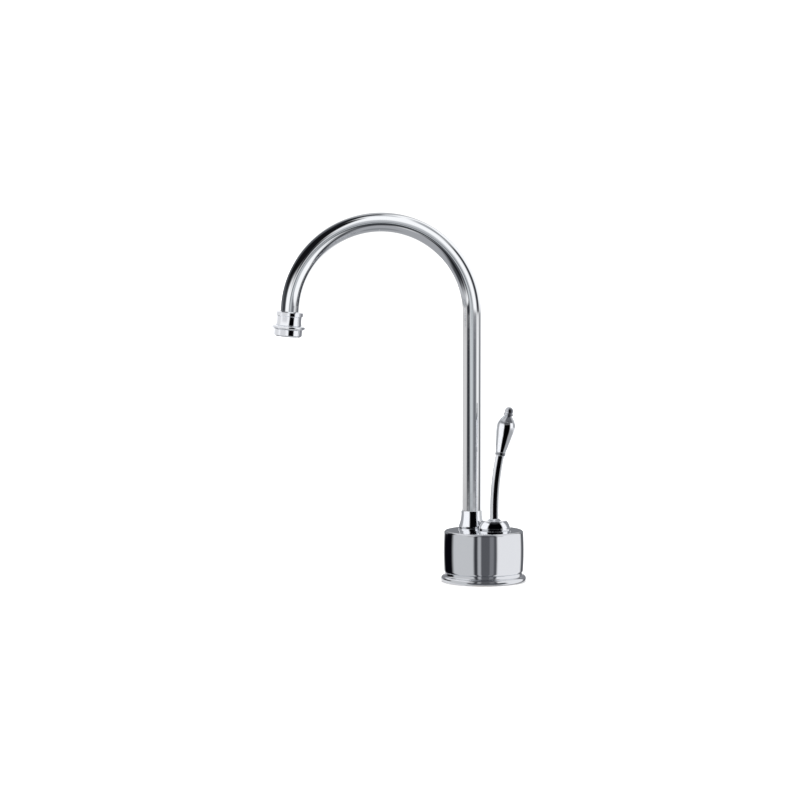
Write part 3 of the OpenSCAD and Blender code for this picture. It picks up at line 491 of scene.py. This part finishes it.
gasket = turned("gasket", [
    (groove_in, 0, 0.3), (groove_out, 0, 0.3), (groove_out, groove_h, 0.2),
    (groove_in, groove_h, 0.2)], around=128)
gasket.data.materials.append(rubber)
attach(gasket, "base")
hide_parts("deck_gasket")


# ---- Drum body ------------------------------------------------------------------
# A deep-drawn brass drum, open below, plated and buffed as the foot is. Its wall draws
# in over the foot, swells by half a millimetre at mid height and turns into the flat
# lid, which has a hole for the spout's neck and one for the lever's.
def made_plain(piece):
    """Turns a piece and its modifiers into one plain mesh."""
    depsgraph = bpy.context.evaluated_depsgraph_get()
    mesh = bpy.data.meshes.new_from_object(piece.evaluated_get(depsgraph))
    old = piece.data
    piece.modifiers.clear()
    piece.data = mesh
    bpy.data.meshes.remove(old)


def cut(piece, tool, operation="DIFFERENCE"):
    """Cuts a piece with another, which is used up."""
    step = piece.modifiers.new("cut", "BOOLEAN")
    step.operation = operation
    step.solver = "EXACT"
    step.object = tool
    made_plain(piece)
    bpy.data.objects.remove(tool)
    smooth(piece.data)


def shifted(x=0.0, y=0.0, z=0.0):
    """Matrix of a shift by so many millimetres."""
    return Matrix.Translation((x / 1000, y / 1000, z / 1000))


# The lever stands beside the drum's axis. The spout stands behind it, one distance from
# the drum's axis and another from the lever's.
hub_x = 9.0
spout_ring_r, spout_reach = 20.19, 25.8
spout_x = (spout_ring_r ** 2 + hub_x ** 2 - spout_reach ** 2) / (2 * hub_x)
spout_y = sqrt(spout_ring_r ** 2 - spout_x ** 2)
body_r, wall_in = 33.6, 31.1
lid_z, lid_under = 43.2, 40.2
shoulder_x, shoulder_z, shoulder_r = 31.6, 41.2, 2.0
spout_hole_r, hub_hole_r = 10.0, 12.6
drill_tip, drill_end = 38, 46
drum = turned("drum_body", [
    (wall_in, foot_top, 0), (body_foot_r, foot_top, 0),
    *bow((body_foot_r, foot_top), (body_r, 10), -0.25, 8),
    *bow((body_r, 10), (body_r, shoulder_z), -0.5, 24)[:-1],
    *arc((shoulder_x, shoulder_z), shoulder_r, 0, 90, 12), (31.4, lid_z, 0),
    (0, lid_z, 0), (0, lid_under, 0), (wall_in, lid_under, 0),
], around=224)
for x, y, r in ((spout_x, spout_y, spout_hole_r), (hub_x, 0, hub_hole_r)):
    drill = turned("drill", [
        (0, drill_tip, 0), (r, drill_tip, 0), (r, drill_end, 0), (0, drill_end, 0)], around=96)
    drill.data.transform(shifted(x, y))
    cut(drum, drill)
dress(drum, chrome, drum_light)
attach(drum, "base")
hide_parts("body_shell")

# ---- Manifold -------------------------------------------------------------------
# A brass casting inside the drum that joins the shank, the valve's chamber and the
# spout's socket. It is machined all over, and its yellow is clouded by fine tarnish.

# A wave texture turns by 20 radians in a unit, so the tool's marks are drawn 2 pi times
# radian_size apart. That is 3 mm, coarser than real ones, so that they show.
tarnish_size, radian_size = 14.0, 0.5
brass, tree, place = blank_finish("machined_brass")
stain = add(tree, "ShaderNodeTexNoise", inputs={
    "Vector": place, "Scale": 1000 / tarnish_size, "Detail": 5.0})
tone = add(tree, "ShaderNodeMix", {"data_type": "RGBA"}, {
    0: stain, 6: linear("#E3C27A"), 7: linear("#C79F54")}).outputs[2]
dull = add(tree, "ShaderNodeMapRange", inputs={"Value": stain, "To Min": 0.2, "To Max": 0.42})
tool_marks = add(tree, "ShaderNodeTexWave", {"wave_type": "BANDS", "bands_direction": "Z"}, {
    "Vector": place, "Scale": 1000 / radian_size / 20, "Distortion": 0.4, "Detail": 2.0})
relief = add(tree, "ShaderNodeBump", inputs={
    "Height": tool_marks.outputs[1], "Strength": 0.5, "Distance": 20 * micron})
fill(tree, tree.nodes["Principled BSDF"], {
    "Metallic": 1.0, "Base Color": tone, "Roughness": dull, "Normal": relief})


def repaint(node, material):
    """Gives a CAD node that keeps its shape its real finish, in the finial's light."""
    dress(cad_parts[node], material, finial_light)


repaint("manifold", brass)

# ---- Spout collar ---------------------------------------------------------------
# A turned, plated nut with a short plain foot and a hollow taper. It screws down onto
# the manifold's nipple, so it holds the lid and keeps the spout from lifting.
collar_r, collar_foot_top = 11.2, 45
taper_r, taper_top = 9.0, 57.6
nipple_r, nipple_top = 9.8, 48.4
collar_bore_r = 8.2
collar = turned("collar", [
    (nipple_r, lid_z, 0), (collar_r, lid_z, 0.15), (collar_r, collar_foot_top, 0.2),
    *bow((collar_r, collar_foot_top), (taper_r, taper_top), 0.75, 18),
    *arc((8.4, taper_top), 0.6, 0, 90, 8)[1:], (collar_bore_r, 58.2, 0),
    (collar_bore_r, nipple_top, 0), (nipple_r, nipple_top, 0),
])
collar.data.transform(shifted(spout_x, spout_y))
dress(collar, chrome, collar_light)
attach(collar, "base")
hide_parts("spout_collar")

# ---- Spout bush -----------------------------------------------------------------
# A thin sleeve of white acetal, moulded and pressed into the nipple. The spout's tube
# turns in it. The mould's skin is even and waxy, with a sheen that varies a little.
skin_size = 0.5
acetal, tree, place = blank_finish("moulded_white_acetal")
skin = add(tree, "ShaderNodeTexNoise", inputs={
    "Vector": place, "Scale": 1000 / skin_size, "Detail": 3.0})
dull = add(tree, "ShaderNodeMapRange", inputs={"Value": skin, "To Min": 0.32, "To Max": 0.5})
relief = add(tree, "ShaderNodeBump", inputs={
    "Height": skin, "Strength": 0.4, "Distance": 10 * micron})
fill(tree, tree.nodes["Principled BSDF"], {
    "Base Color": linear("#ECECE7"), "IOR": 1.48, "Roughness": dull, "Normal": relief})
repaint("spout_bush", acetal)


# ---- Gooseneck ------------------------------------------------------------------
# One length of 16 mm brass tube, bent on a mandrel to a near half circle, then plated
# and buffed. It is drawn straight here, and Geometry Nodes bend it.
def open_tree(name, sizes):
    """A Geometry Nodes tree, what it is given by name, and where its points lie."""
    tree = bpy.data.node_groups.new(name, "GeometryNodeTree")
    tree.interface.new_socket("Geometry", in_out="OUTPUT", socket_type="NodeSocketGeometry")
    tree.interface.new_socket("Geometry", in_out="INPUT", socket_type="NodeSocketGeometry")
    for size in sizes:
        tree.interface.new_socket(size, in_out="INPUT", socket_type="NodeSocketFloat")
    tree.interface.new_socket("Finish", in_out="INPUT", socket_type="NodeSocketMaterial")
    given = add(tree, "NodeGroupInput").outputs
    here = add(tree, "GeometryNodeInputPosition")
    at = add(tree, "ShaderNodeSeparateXYZ", inputs=[here]).outputs
    return tree, given, {"x": at["X"], "y": at["Y"], "z": at["Z"],
                         **{size: given[size] for size in sizes}}


def follow(tree, known, steps):
    """Adds a tree's steps, each named for its result: a sum, or a range mapped to 0 to 1."""
    for name, step, *terms in steps:
        terms = [known.get(term, term) for term in terms]
        if step == "RANGE":
            known[name] = add(tree, "ShaderNodeMapRange", {"label": name}, terms)
        else:
            known[name] = add(tree, "ShaderNodeMath", {"label": name, "operation": step}, terms)


def close_tree(tree, given, shaped):
    """Makes a tree's instances real, gives them their finish and hands them out."""
    real = add(tree, "GeometryNodeRealizeInstances", inputs=[shaped])
    dressed = add(tree, "GeometryNodeSetMaterial",
                  inputs={"Geometry": real, "Material": given["Finish"]})
    add(tree, "NodeGroupOutput", inputs={"Geometry": dressed})


def run_tree(piece, tree, values):
    """Runs a Geometry Nodes tree on a piece, with its named inputs, and keeps the mesh."""
    step = piece.modifiers.new(tree.name, "NODES")
    step.node_group = tree
    for socket in tree.interface.items_tree:
        if socket.in_out == "INPUT" and socket.name in values:
            step[socket.identifier] = values[socket.name]
    made_plain(piece)


bend_tree, given, known = open_tree(
    "mandrel_bend", ("Straight Height", "Bend Radius", "Bend Angle"))
follow(bend_tree, known, (
    ("over", "SUBTRACT", "z", "Straight Height"),
    ("beyond", "MAXIMUM", "over", 0.0),
    ("length", "MULTIPLY", "Bend Radius", "Bend Angle"),
    ("in bend", "MINIMUM", "beyond", "length"),
    ("turn", "DIVIDE", "in bend", "Bend Radius"),
    ("past bend", "SUBTRACT", "beyond", "length"),
    ("tail", "MAXIMUM", "past bend", 0.0),
    ("out", "ADD", "x", "Bend Radius"),
    ("cosine", "COSINE", "turn"),
    ("sine", "SINE", "turn"),
    ("arm x", "MULTIPLY", "out", "cosine"),
    ("bend x", "SUBTRACT", "arm x", "Bend Radius"),
    ("tail x", "MULTIPLY", "tail", "sine"),
    ("new x", "SUBTRACT", "bend x", "tail x"),
    ("arm z", "MULTIPLY", "out", "sine"),
    ("tail z", "MULTIPLY", "tail", "cosine"),
    ("rise", "ADD", "arm z", "tail z"),
    ("straight z", "MINIMUM", "z", "Straight Height"),
    ("new z", "ADD", "straight z", "rise"),
))
moved = add(bend_tree, "ShaderNodeCombineXYZ", inputs=[
    known["new x"], known["y"], known["new z"]])
bent = add(bend_tree, "GeometryNodeSetPosition",
           inputs={"Geometry": given["Geometry"], "Position": moved})
close_tree(bend_tree, given, bent)

tube_r, tube_bore_r = 8, 6.8
ring_groove_r, ring_low, ring_high = 7.6, 46.6, 47.8
riser_foot_z, bend_z = 30.0, 226.0
bend_r, bend_angle = 77.0, radians(175)
bend_end = bend_z + bend_r * bend_angle
neck = turned("gooseneck", [
    (tube_bore_r, riser_foot_z, 0.2), (tube_r, riser_foot_z, 0.3),
    (tube_r, ring_low, 0), (ring_groove_r, ring_low, 0),
    (ring_groove_r, ring_high, 0), (tube_r, ring_high, 0),
    (tube_r, bend_z, 0), (tube_r, bend_end, 0), (tube_bore_r, bend_end, 0),
], around=128, step=2.4)
run_tree(neck, bend_tree, {"Straight Height": bend_z / 1000, "Bend Radius": bend_r / 1000,
                           "Bend Angle": bend_angle, "Finish": chrome})
neck.data.transform(shifted(spout_x, spout_y))
smooth(neck.data)
gooseneck_light.objects.link(neck)
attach(neck, "spout")
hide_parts("spout_tube")

# ---- Spout foot -----------------------------------------------------------------
# A brass stem is brazed into the tube's foot, two O-rings seal it in the socket, and a
# snap ring under the collar holds the spout down. The ring is of drawn stainless steel,
# satin, with the fine lines that the die leaves.
line_size, line_stretch = 6.0, 12.0
stainless, tree, place = blank_finish("satin_stainless_steel")
drawn = add(tree, "ShaderNodeMapping", inputs={
    "Vector": place, "Scale": (1.0, 1.0, line_stretch)})
lines = add(tree, "ShaderNodeTexNoise", inputs={
    "Vector": drawn, "Scale": 1000 / line_size, "Detail": 6.0})
dull = add(tree, "ShaderNodeMapRange", inputs={"Value": lines, "To Min": 0.2, "To Max": 0.42})
relief = add(tree, "ShaderNodeBump", inputs={
    "Height": lines, "Strength": 0.5, "Distance": 10 * micron})
fill(tree, tree.nodes["Principled BSDF"], {
    "Base Color": linear("#C9C7C3"), "Metallic": 1.0, "Roughness": dull, "Normal": relief})
repaint("spout_stem", brass)
repaint("spout_o_rings", rubber)
repaint("retaining_ring", stainless)

# ---- Nozzle ---------------------------------------------------------------------
# The nozzle is turned from brass and plated: a plain neck brazed to the tube, a
# shoulder, a ring, a hollow barrel and a round bead. The tip screws on below it, and
# holds a rubber washer and the plastic plate that straightens the water.
nozzle_place = (
    shifted(spout_x - bend_r, spout_y, bend_z)
    @ Matrix.Rotation(-bend_angle, 4, "Y")
    @ shifted(bend_r)
)
waterway_r, tip_thread_r, outlet_r = 5.8, 9.4, 8.2
barrel_start, barrel_end = 5.3, 20.3
barrel_r, bead_end_r = 10.75, 11.1
tip_r, tip_round = 12.1, 1.8
nozzle_neck = turned("nozzle_neck", [
    (waterway_r, -3, 0.2), (6.6, -3, 0.2), (6.6, 0, 0), (tube_r, 0, 0),
    (tube_r, barrel_start, 0), (waterway_r, barrel_start, 0)])
nozzle = turned("nozzle", [
    (waterway_r, barrel_start, 0), (tip_thread_r, barrel_start, 0.15),
    (11.35, 5.9, 0.3), (11.6, 6.4, 0.25), (11.6, 9.0, 0.25), (11.1, 9.5, 0.2),
    (barrel_r, 9.5, 0), *bow((barrel_r, 9.5), (bead_end_r, 16.8), 0.3, 12),
    (barrel_r, 17.3, 0), *arc((12.8, 18.8), 1.5, -90, 90, 20),
    (tip_thread_r, barrel_end, 0), (tip_thread_r, 22.1, 0.2), (waterway_r, 22.1, 0.2),
])
tip = turned("nozzle_tip_ring", [
    (tip_thread_r, barrel_end, 0), (11.75, barrel_end, 0.1), (tip_r, 20.65, 0.2),
    (tip_r, 24.9, 0), *arc((10.3, 24.9), tip_round, 0, 90, 10)[1:],
    (outlet_r, 26.7, 0.3), (outlet_r, 24.3, 0), (tip_thread_r, 24.3, 0),
])
for piece, room, node in ((nozzle_neck, gooseneck_light, "nozzle_body"),
                          (nozzle, nozzle_light, "nozzle_body"),
                          (tip, nozzle_light, "nozzle_tip")):
    piece.data.transform(nozzle_place)
    dress(piece, chrome, room)
    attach(piece, "spout")
    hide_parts(node)

# ---- Cartridge ------------------------------------------------------------------
# A bought-in valve: a grey plastic housing and base, two lapped ceramic discs with the
# waterway in them, a white carrier that the lever's foot pushes, a slippery seat ring
# for the ball and a rubber seal underneath.

# Glass-filled plastic is dull: fibre ends roughen its skin, and the melt's flow clouds
# its grey.
flow_size, fibre_size = 5.0, 0.25
filled, tree, place = blank_finish("glass_filled_grey_plastic")
flow = add(tree, "ShaderNodeTexNoise", inputs={
    "Vector": place, "Scale": 1000 / flow_size, "Detail": 5.0})
tone = add(tree, "ShaderNodeMix", {"data_type": "RGBA"}, {
    0: flow, 6: linear("#6B6F75"), 7: linear("#7C8087")}).outputs[2]
fibres = add(tree, "ShaderNodeTexNoise", inputs={
    "Vector": place, "Scale": 1000 / fibre_size, "Detail": 2.0})
dull = add(tree, "ShaderNodeMapRange", inputs={"Value": fibres, "To Min": 0.42, "To Max": 0.62})
relief = add(tree, "ShaderNodeBump", inputs={
    "Height": fibres, "Strength": 0.5, "Distance": 20 * micron})
fill(tree, tree.nodes["Principled BSDF"], {
    "IOR": 1.6, "Base Color": tone, "Roughness": dull, "Normal": relief})

# Alumina is lapped flat to a cream gloss, and only its firing clouds it.
cloud_size = 1.5
alumina, tree, place = blank_finish("lapped_alumina")
fired = add(tree, "ShaderNodeTexNoise", inputs={
    "Vector": place, "Scale": 1000 / cloud_size, "Detail": 4.0})
tone = add(tree, "ShaderNodeMix", {"data_type": "RGBA"}, {
    0: fired, 6: linear("#F3EEE2"), 7: linear("#E6DFCF")}).outputs[2]
lapped = add(tree, "ShaderNodeMapRange", inputs={"Value": fired, "To Min": 0.08, "To Max": 0.2})
fill(tree, tree.nodes["Principled BSDF"], {
    "IOR": 1.76, "Base Color": tone, "Roughness": lapped})

for material, nodes in ((rubber, ("cartridge_seal", "nozzle_washer")),
                        (filled, ("cartridge_base", "cartridge_housing", "aerator_plate")),
                        (alumina, ("fixed_disc", "moving_disc")),
                        (acetal, ("ball_seat", "disc_carrier"))):
    for node in nodes:
        repaint(node, material)


# ---- Bonnet ---------------------------------------------------------------------
# A turned and plated cap with a low skirt, a soft shoulder and a flat top. It screws
# into the manifold over the cartridge, and the lever's ball sits in its round mouth.
def turn_at(r, height):
    """Angle, in degrees, at which a circle of radius r is at a height over its centre."""
    return 180 / pi * atan2(height, sqrt(r ** 2 - height ** 2))


ball_z, mouth_r = 46.6, 7.7
mouth_top, mouth_foot = 51.6, 49.3
bonnet_foot, bonnet_bore_r, bonnet_thread_r = 36, 11, 12.3
skirt_r, shoulder_foot_r, flat_r = 13.6, 13.3, 10.4
bonnet = turned("bonnet_cap", [
    (bonnet_bore_r, bonnet_foot, 0.3), (bonnet_thread_r, bonnet_foot, 0.3),
    (bonnet_thread_r, lid_z, 0), (skirt_r, lid_z, 0.15), (skirt_r, 45.25, 0.2),
    (shoulder_foot_r, 45.7, 0.15),
    *bow((shoulder_foot_r, 45.7), (flat_r, mouth_top), -0.45, 14)[:-1],
    (flat_r, mouth_top, 0.5),
    *arc((0, ball_z), mouth_r, turn_at(mouth_r, mouth_top - ball_z),
         turn_at(mouth_r, mouth_foot - ball_z), 8),
    (bonnet_bore_r, mouth_foot, 0),
])
bonnet.data.transform(shifted(hub_x))
dress(bonnet, chrome, bonnet_light)
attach(bonnet, "base")
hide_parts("bonnet")

# ---- Lever ball -----------------------------------------------------------------
# A plated steel ball with a small foot that reaches down into the disc carrier. A
# stainless pin crosses it, and only its crown shows in the bonnet's mouth.
ball_r, foot_r, stem_r = 7.6, 2.6, 1.5
foot_z = ball_z - 10
crown_z, sole_z = 53.0, 44.0
rod_thread_r, rod_foot_z = 2.5, 49.4
pin_r, pin_half = 1.2, 9
stem_turn = 180 / pi * atan2(sqrt(foot_r ** 2 - stem_r ** 2), stem_r)
ball = turned("lever_ball_crown", [
    *arc((0, foot_z), foot_r, -90, stem_turn, 16), (stem_r, sole_z, 0),
    *arc((0, ball_z), ball_r, turn_at(ball_r, sole_z - ball_z),
         turn_at(ball_r, crown_z - ball_z), 24),
    (rod_thread_r, crown_z, 0), (rod_thread_r, rod_foot_z, 0), (0, rod_foot_z, 0),
], around=128)
ball.data.transform(shifted(hub_x))
pin_hole = turned("drill", [
    (0, -pin_half, 0), (pin_r, -pin_half, 0), (pin_r, pin_half, 0), (0, pin_half, 0)],
    around=48)
pin_hole.data.transform(shifted(hub_x, 0, ball_z) @ Matrix.Rotation(pi / 2, 4, "X"))
cut(ball, pin_hole)
dress(ball, chrome, bonnet_light)
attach(ball, "lever")
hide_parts("lever_ball")
repaint("pivot_pin", stainless)

# ---- Lever rod ------------------------------------------------------------------
# A plated brass rod, threaded at both ends. It stands upright out of the ball and
# then leans away from the spout in one long bend, which the gooseneck's tree makes.
rod_r, rod_thread_l = 3.7, 18
rod_bend_z, rod_bend_r, rod_lean = 60.0, -236.0, radians(-11.4)
rod_end = rod_bend_z + rod_bend_r * rod_lean
rod = turned("lever_stem", [
    (0, rod_foot_z, 0), (rod_thread_r, rod_foot_z, 0.3), (rod_thread_r, crown_z, 0),
    (rod_r, crown_z, 0.15), (rod_r, rod_end, 0.1), (rod_thread_r, rod_end, 0),
    (rod_thread_r, rod_end + rod_thread_l, 0.3), (0, rod_end + rod_thread_l, 0),
], around=96, step=1.2)
run_tree(rod, bend_tree, {
    "Straight Height": rod_bend_z / 1000, "Bend Radius": rod_bend_r / 1000,
    "Bend Angle": rod_lean, "Finish": chrome})
rod.data.transform(shifted(hub_x))
smooth(rod.data)
rod_light.objects.link(rod)
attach(rod, "lever")
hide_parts("lever_rod")

# ---- Grip -----------------------------------------------------------------------
# The handle is turned in the manner of an old tap: a ferrule, a long vase that swells
# towards its top, and a finial of a bell, a disc and a ball, all plated and buffed.
grip_place = (
    shifted(hub_x - rod_bend_r, 0, rod_bend_z)
    @ Matrix.Rotation(-rod_lean, 4, "Y")
    @ shifted(rod_bend_r)
)
ferrule_r, ferrule_l = 4.45, 3
vase_foot_r, vase_waist_r, vase_r, vase_lip_r = 4.3, 6.9, 7.9, 7.0
vase_top, tenon_foot, tenon_r = 29.4, 23.4, 2
bell_r, bell_neck_r = 6.8, 2.9
disc_s, ball_s = 35.6, 38.3
ferrule = turned("grip_ferrule_ring", [
    (rod_thread_r, 0, 0), (ferrule_r, 0, 0.6), (ferrule_r, ferrule_l, 0.6),
    (rod_thread_r, ferrule_l, 0)], around=112)
vase = turned("grip_vase", [
    (rod_thread_r, ferrule_l, 0), (vase_foot_r, ferrule_l, 0.2),
    *bow((vase_foot_r, ferrule_l), (vase_waist_r, 17), -0.1, 14),
    *bow((vase_waist_r, 17), (vase_r, 24.6), -0.2, 12),
    *bow((vase_r, 24.6), (vase_lip_r, vase_top), -0.3, 10)[:-1], (vase_lip_r, vase_top, 0.2),
    (tenon_r, vase_top, 0), (tenon_r, tenon_foot, 0), (0, tenon_foot, 0),
    (0, rod_thread_l, 0), (rod_thread_r, rod_thread_l, 0),
], around=144)
finial = turned("finial_bell_and_ball", [
    (0, tenon_foot, 0), (tenon_r, tenon_foot, 0.2), (tenon_r, vase_top, 0),
    (bell_r, vase_top, 0.2), *bow((bell_r, vase_top), (bell_neck_r, 34.5), -0.25, 14),
    *arc((3.15, disc_s), 1.1, -90, 80.6, 12), *arc((0, ball_s), 3.7, -25.9, 90, 20)[1:],
], around=128)
for piece, room, node in ((ferrule, finial_light, "grip_ferrule"),
                          (vase, grip_light, "lever_grip"),
                          (finial, finial_light, "finial")):
    piece.data.transform(grip_place)
    dress(piece, chrome, room)
    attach(piece, "lever")
    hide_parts(node)

# ---- Shank and mounting nut -----------------------------------------------------
# Under the deck the tap hangs on a brass tube with a rolled thread. A rubber washer,
# a steel one and a hexagon nut clamp the deck. Geometry Nodes cut the thread.
thread_tree, given, known = open_tree(
    "cut_thread", ("Crest Radius", "Foot Height", "Top Height", "Pitch", "Depth"))
flat = add(thread_tree, "ShaderNodeCombineXYZ", inputs=[known["x"], known["y"]])
known["reach"] = add(
    thread_tree, "ShaderNodeVectorMath", {"operation": "LENGTH"}, [flat]).outputs["Value"]
flat_crest, flat_root = 0.15, 0.85
run_out = 0.0008
follow(thread_tree, known, (
    ("skin", "SUBTRACT", "Crest Radius", 10 * micron),
    ("on crest", "GREATER_THAN", "reach", "skin"),
    ("angle", "ARCTAN2", "y", "x"),
    ("share", "DIVIDE", "angle", 2 * pi),
    ("turns up", "DIVIDE", "z", "Pitch"),
    ("wound", "SUBTRACT", "turns up", "share"),
    ("phase", "FRACT", "wound"),
    ("twice", "MULTIPLY", "phase", 2.0),
    ("zigzag", "PINGPONG", "twice", 1.0),
    ("flank", "RANGE", "zigzag", flat_crest, flat_root),
    ("over foot", "SUBTRACT", "z", "Foot Height"),
    ("start", "RANGE", "over foot", 0.0, run_out),
    ("under top", "SUBTRACT", "Top Height", "z"),
    ("stop", "RANGE", "under top", 0.0, run_out),
    ("ends", "MULTIPLY", "start", "stop"),
    ("groove", "MULTIPLY", "flank", "Depth"),
    ("crest groove", "MULTIPLY", "on crest", "groove"),
    ("deep", "MULTIPLY", "ends", "crest groove"),
    ("safe reach", "MAXIMUM", "reach", 100 * micron),
    ("part", "DIVIDE", "deep", "safe reach"),
    ("inward", "MULTIPLY", "part", -1.0),
))
shift = add(thread_tree, "ShaderNodeVectorMath", {"operation": "SCALE"}, {
    0: flat, "Scale": known["inward"]})
threaded = add(thread_tree, "GeometryNodeSetPosition",
               inputs={"Geometry": given["Geometry"], "Offset": shift})
close_tree(thread_tree, given, threaded)

shank_r, shank_bore_r, shank_foot, shank_top = 11, 8, -60, 15.1
thread_foot, thread_top, pitch, depth = -59.2, -2.0, 1.8, 0.9
shank = turned("threaded_shank", [
    (shank_bore_r, shank_foot, 0.3), (10.2, shank_foot, 0), (shank_r, thread_foot, 0),
    (shank_r, shank_top, 0), (shank_bore_r, shank_top, 0)], around=96, step=0.3)
run_tree(shank, thread_tree, {
    "Crest Radius": shank_r / 1000, "Foot Height": thread_foot / 1000,
    "Top Height": thread_top / 1000, "Pitch": pitch / 1000, "Depth": depth / 1000,
    "Finish": brass})
smooth(shank.data, 40)
finial_light.objects.link(shank)
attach(shank, "base")
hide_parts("shank")


def hexagon(name, width, low, high, bore, chamfer=1.2):
    """A hexagon nut with its corners chamfered at both ends."""
    slope = 0.58
    corner = width / sqrt(3)
    blank = turned(name, [
        (bore, low, 0.3), (corner - chamfer, low, 0), (corner, low + chamfer * slope, 0),
        (corner, high - chamfer * slope, 0), (corner - chamfer, high, 0), (bore, high, 0.3),
    ], around=96)
    prism = turned("prism", [
        (0, low - 1, 0), (corner, low - 1, 0), (corner, high + 1, 0), (0, high + 1, 0)],
        around=6)
    cut(blank, prism, "INTERSECT")
    return blank


deck_under, rubber_foot, washer_foot, nut_foot = -30, -33, -34.6, -42.6
washer_out = 23
nut = hexagon("mounting_hexagon", 32, nut_foot, washer_foot, shank_r)
soft = turned("soft_washer", [
    (shank_hole_r, rubber_foot, 0.5), (washer_out, rubber_foot, 0.8),
    (washer_out, deck_under, 0.8), (shank_hole_r, deck_under, 0.5)], around=128)
hard = turned("hard_washer", [
    (shank_hole_r, washer_foot, 0.15), (washer_out, washer_foot, 0.15),
    (washer_out, rubber_foot, 0.5), (shank_hole_r, rubber_foot, 0.3)], around=128)
for piece, material, slot, node in ((nut, brass, "brass", "mounting_nut"),
                                    (soft, rubber, "rubber", "rubber_washer"),
                                    (hard, stainless, "stainless", "steel_washer")):
    dress(piece, material, finial_light)
    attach(piece, "base")
    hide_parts(node)

# ---- Inlet ----------------------------------------------------------------------
# A thin stainless tube brings the water up through the shank. A turned brass fitting
# on its end has a hexagon for the spanner and a thread for the supply hose.
inlet_x = 4.5
inlet_r, inlet_bore_r, inlet_foot, inlet_top = 3.175, 2.375, -84, 19
inlet = turned("inlet_pipe", [
    (inlet_bore_r, inlet_foot, 0.1), (inlet_r, inlet_foot, 0.2), (inlet_r, inlet_top, 0.2),
    (inlet_bore_r, inlet_top, 0.1)], around=72)
hose_r, hose_bore_r, hose_foot, hose_top = 7.15, 2.5, -97, -85
thread_foot, thread_top, pitch, depth = -96.3, -86.2, 1.3, 0.65
hose_nut = hexagon("hose_hexagon", 17, hose_top, -78, inlet_r, 0.8)
hose_thread = turned("hose_thread", [
    (hose_bore_r, hose_foot, 0.2), (6.5, hose_foot, 0), (hose_r, -96.35, 0),
    (hose_r, hose_top, 0), (hose_bore_r, hose_top, 0)], around=96, step=0.22)
run_tree(hose_thread, thread_tree, {
    "Crest Radius": hose_r / 1000, "Foot Height": thread_foot / 1000,
    "Top Height": thread_top / 1000, "Pitch": pitch / 1000, "Depth": depth / 1000,
    "Finish": brass})
smooth(hose_thread.data, 40)
for piece, material, slot, node in ((inlet, stainless, "stainless", "inlet_tube"),
                                    (hose_nut, brass, "brass", "inlet_fitting"),
                                    (hose_thread, brass, "brass", "inlet_fitting")):
    piece.data.transform(shifted(inlet_x))
    dress(piece, material, finial_light)
    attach(piece, "base")
    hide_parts(node)
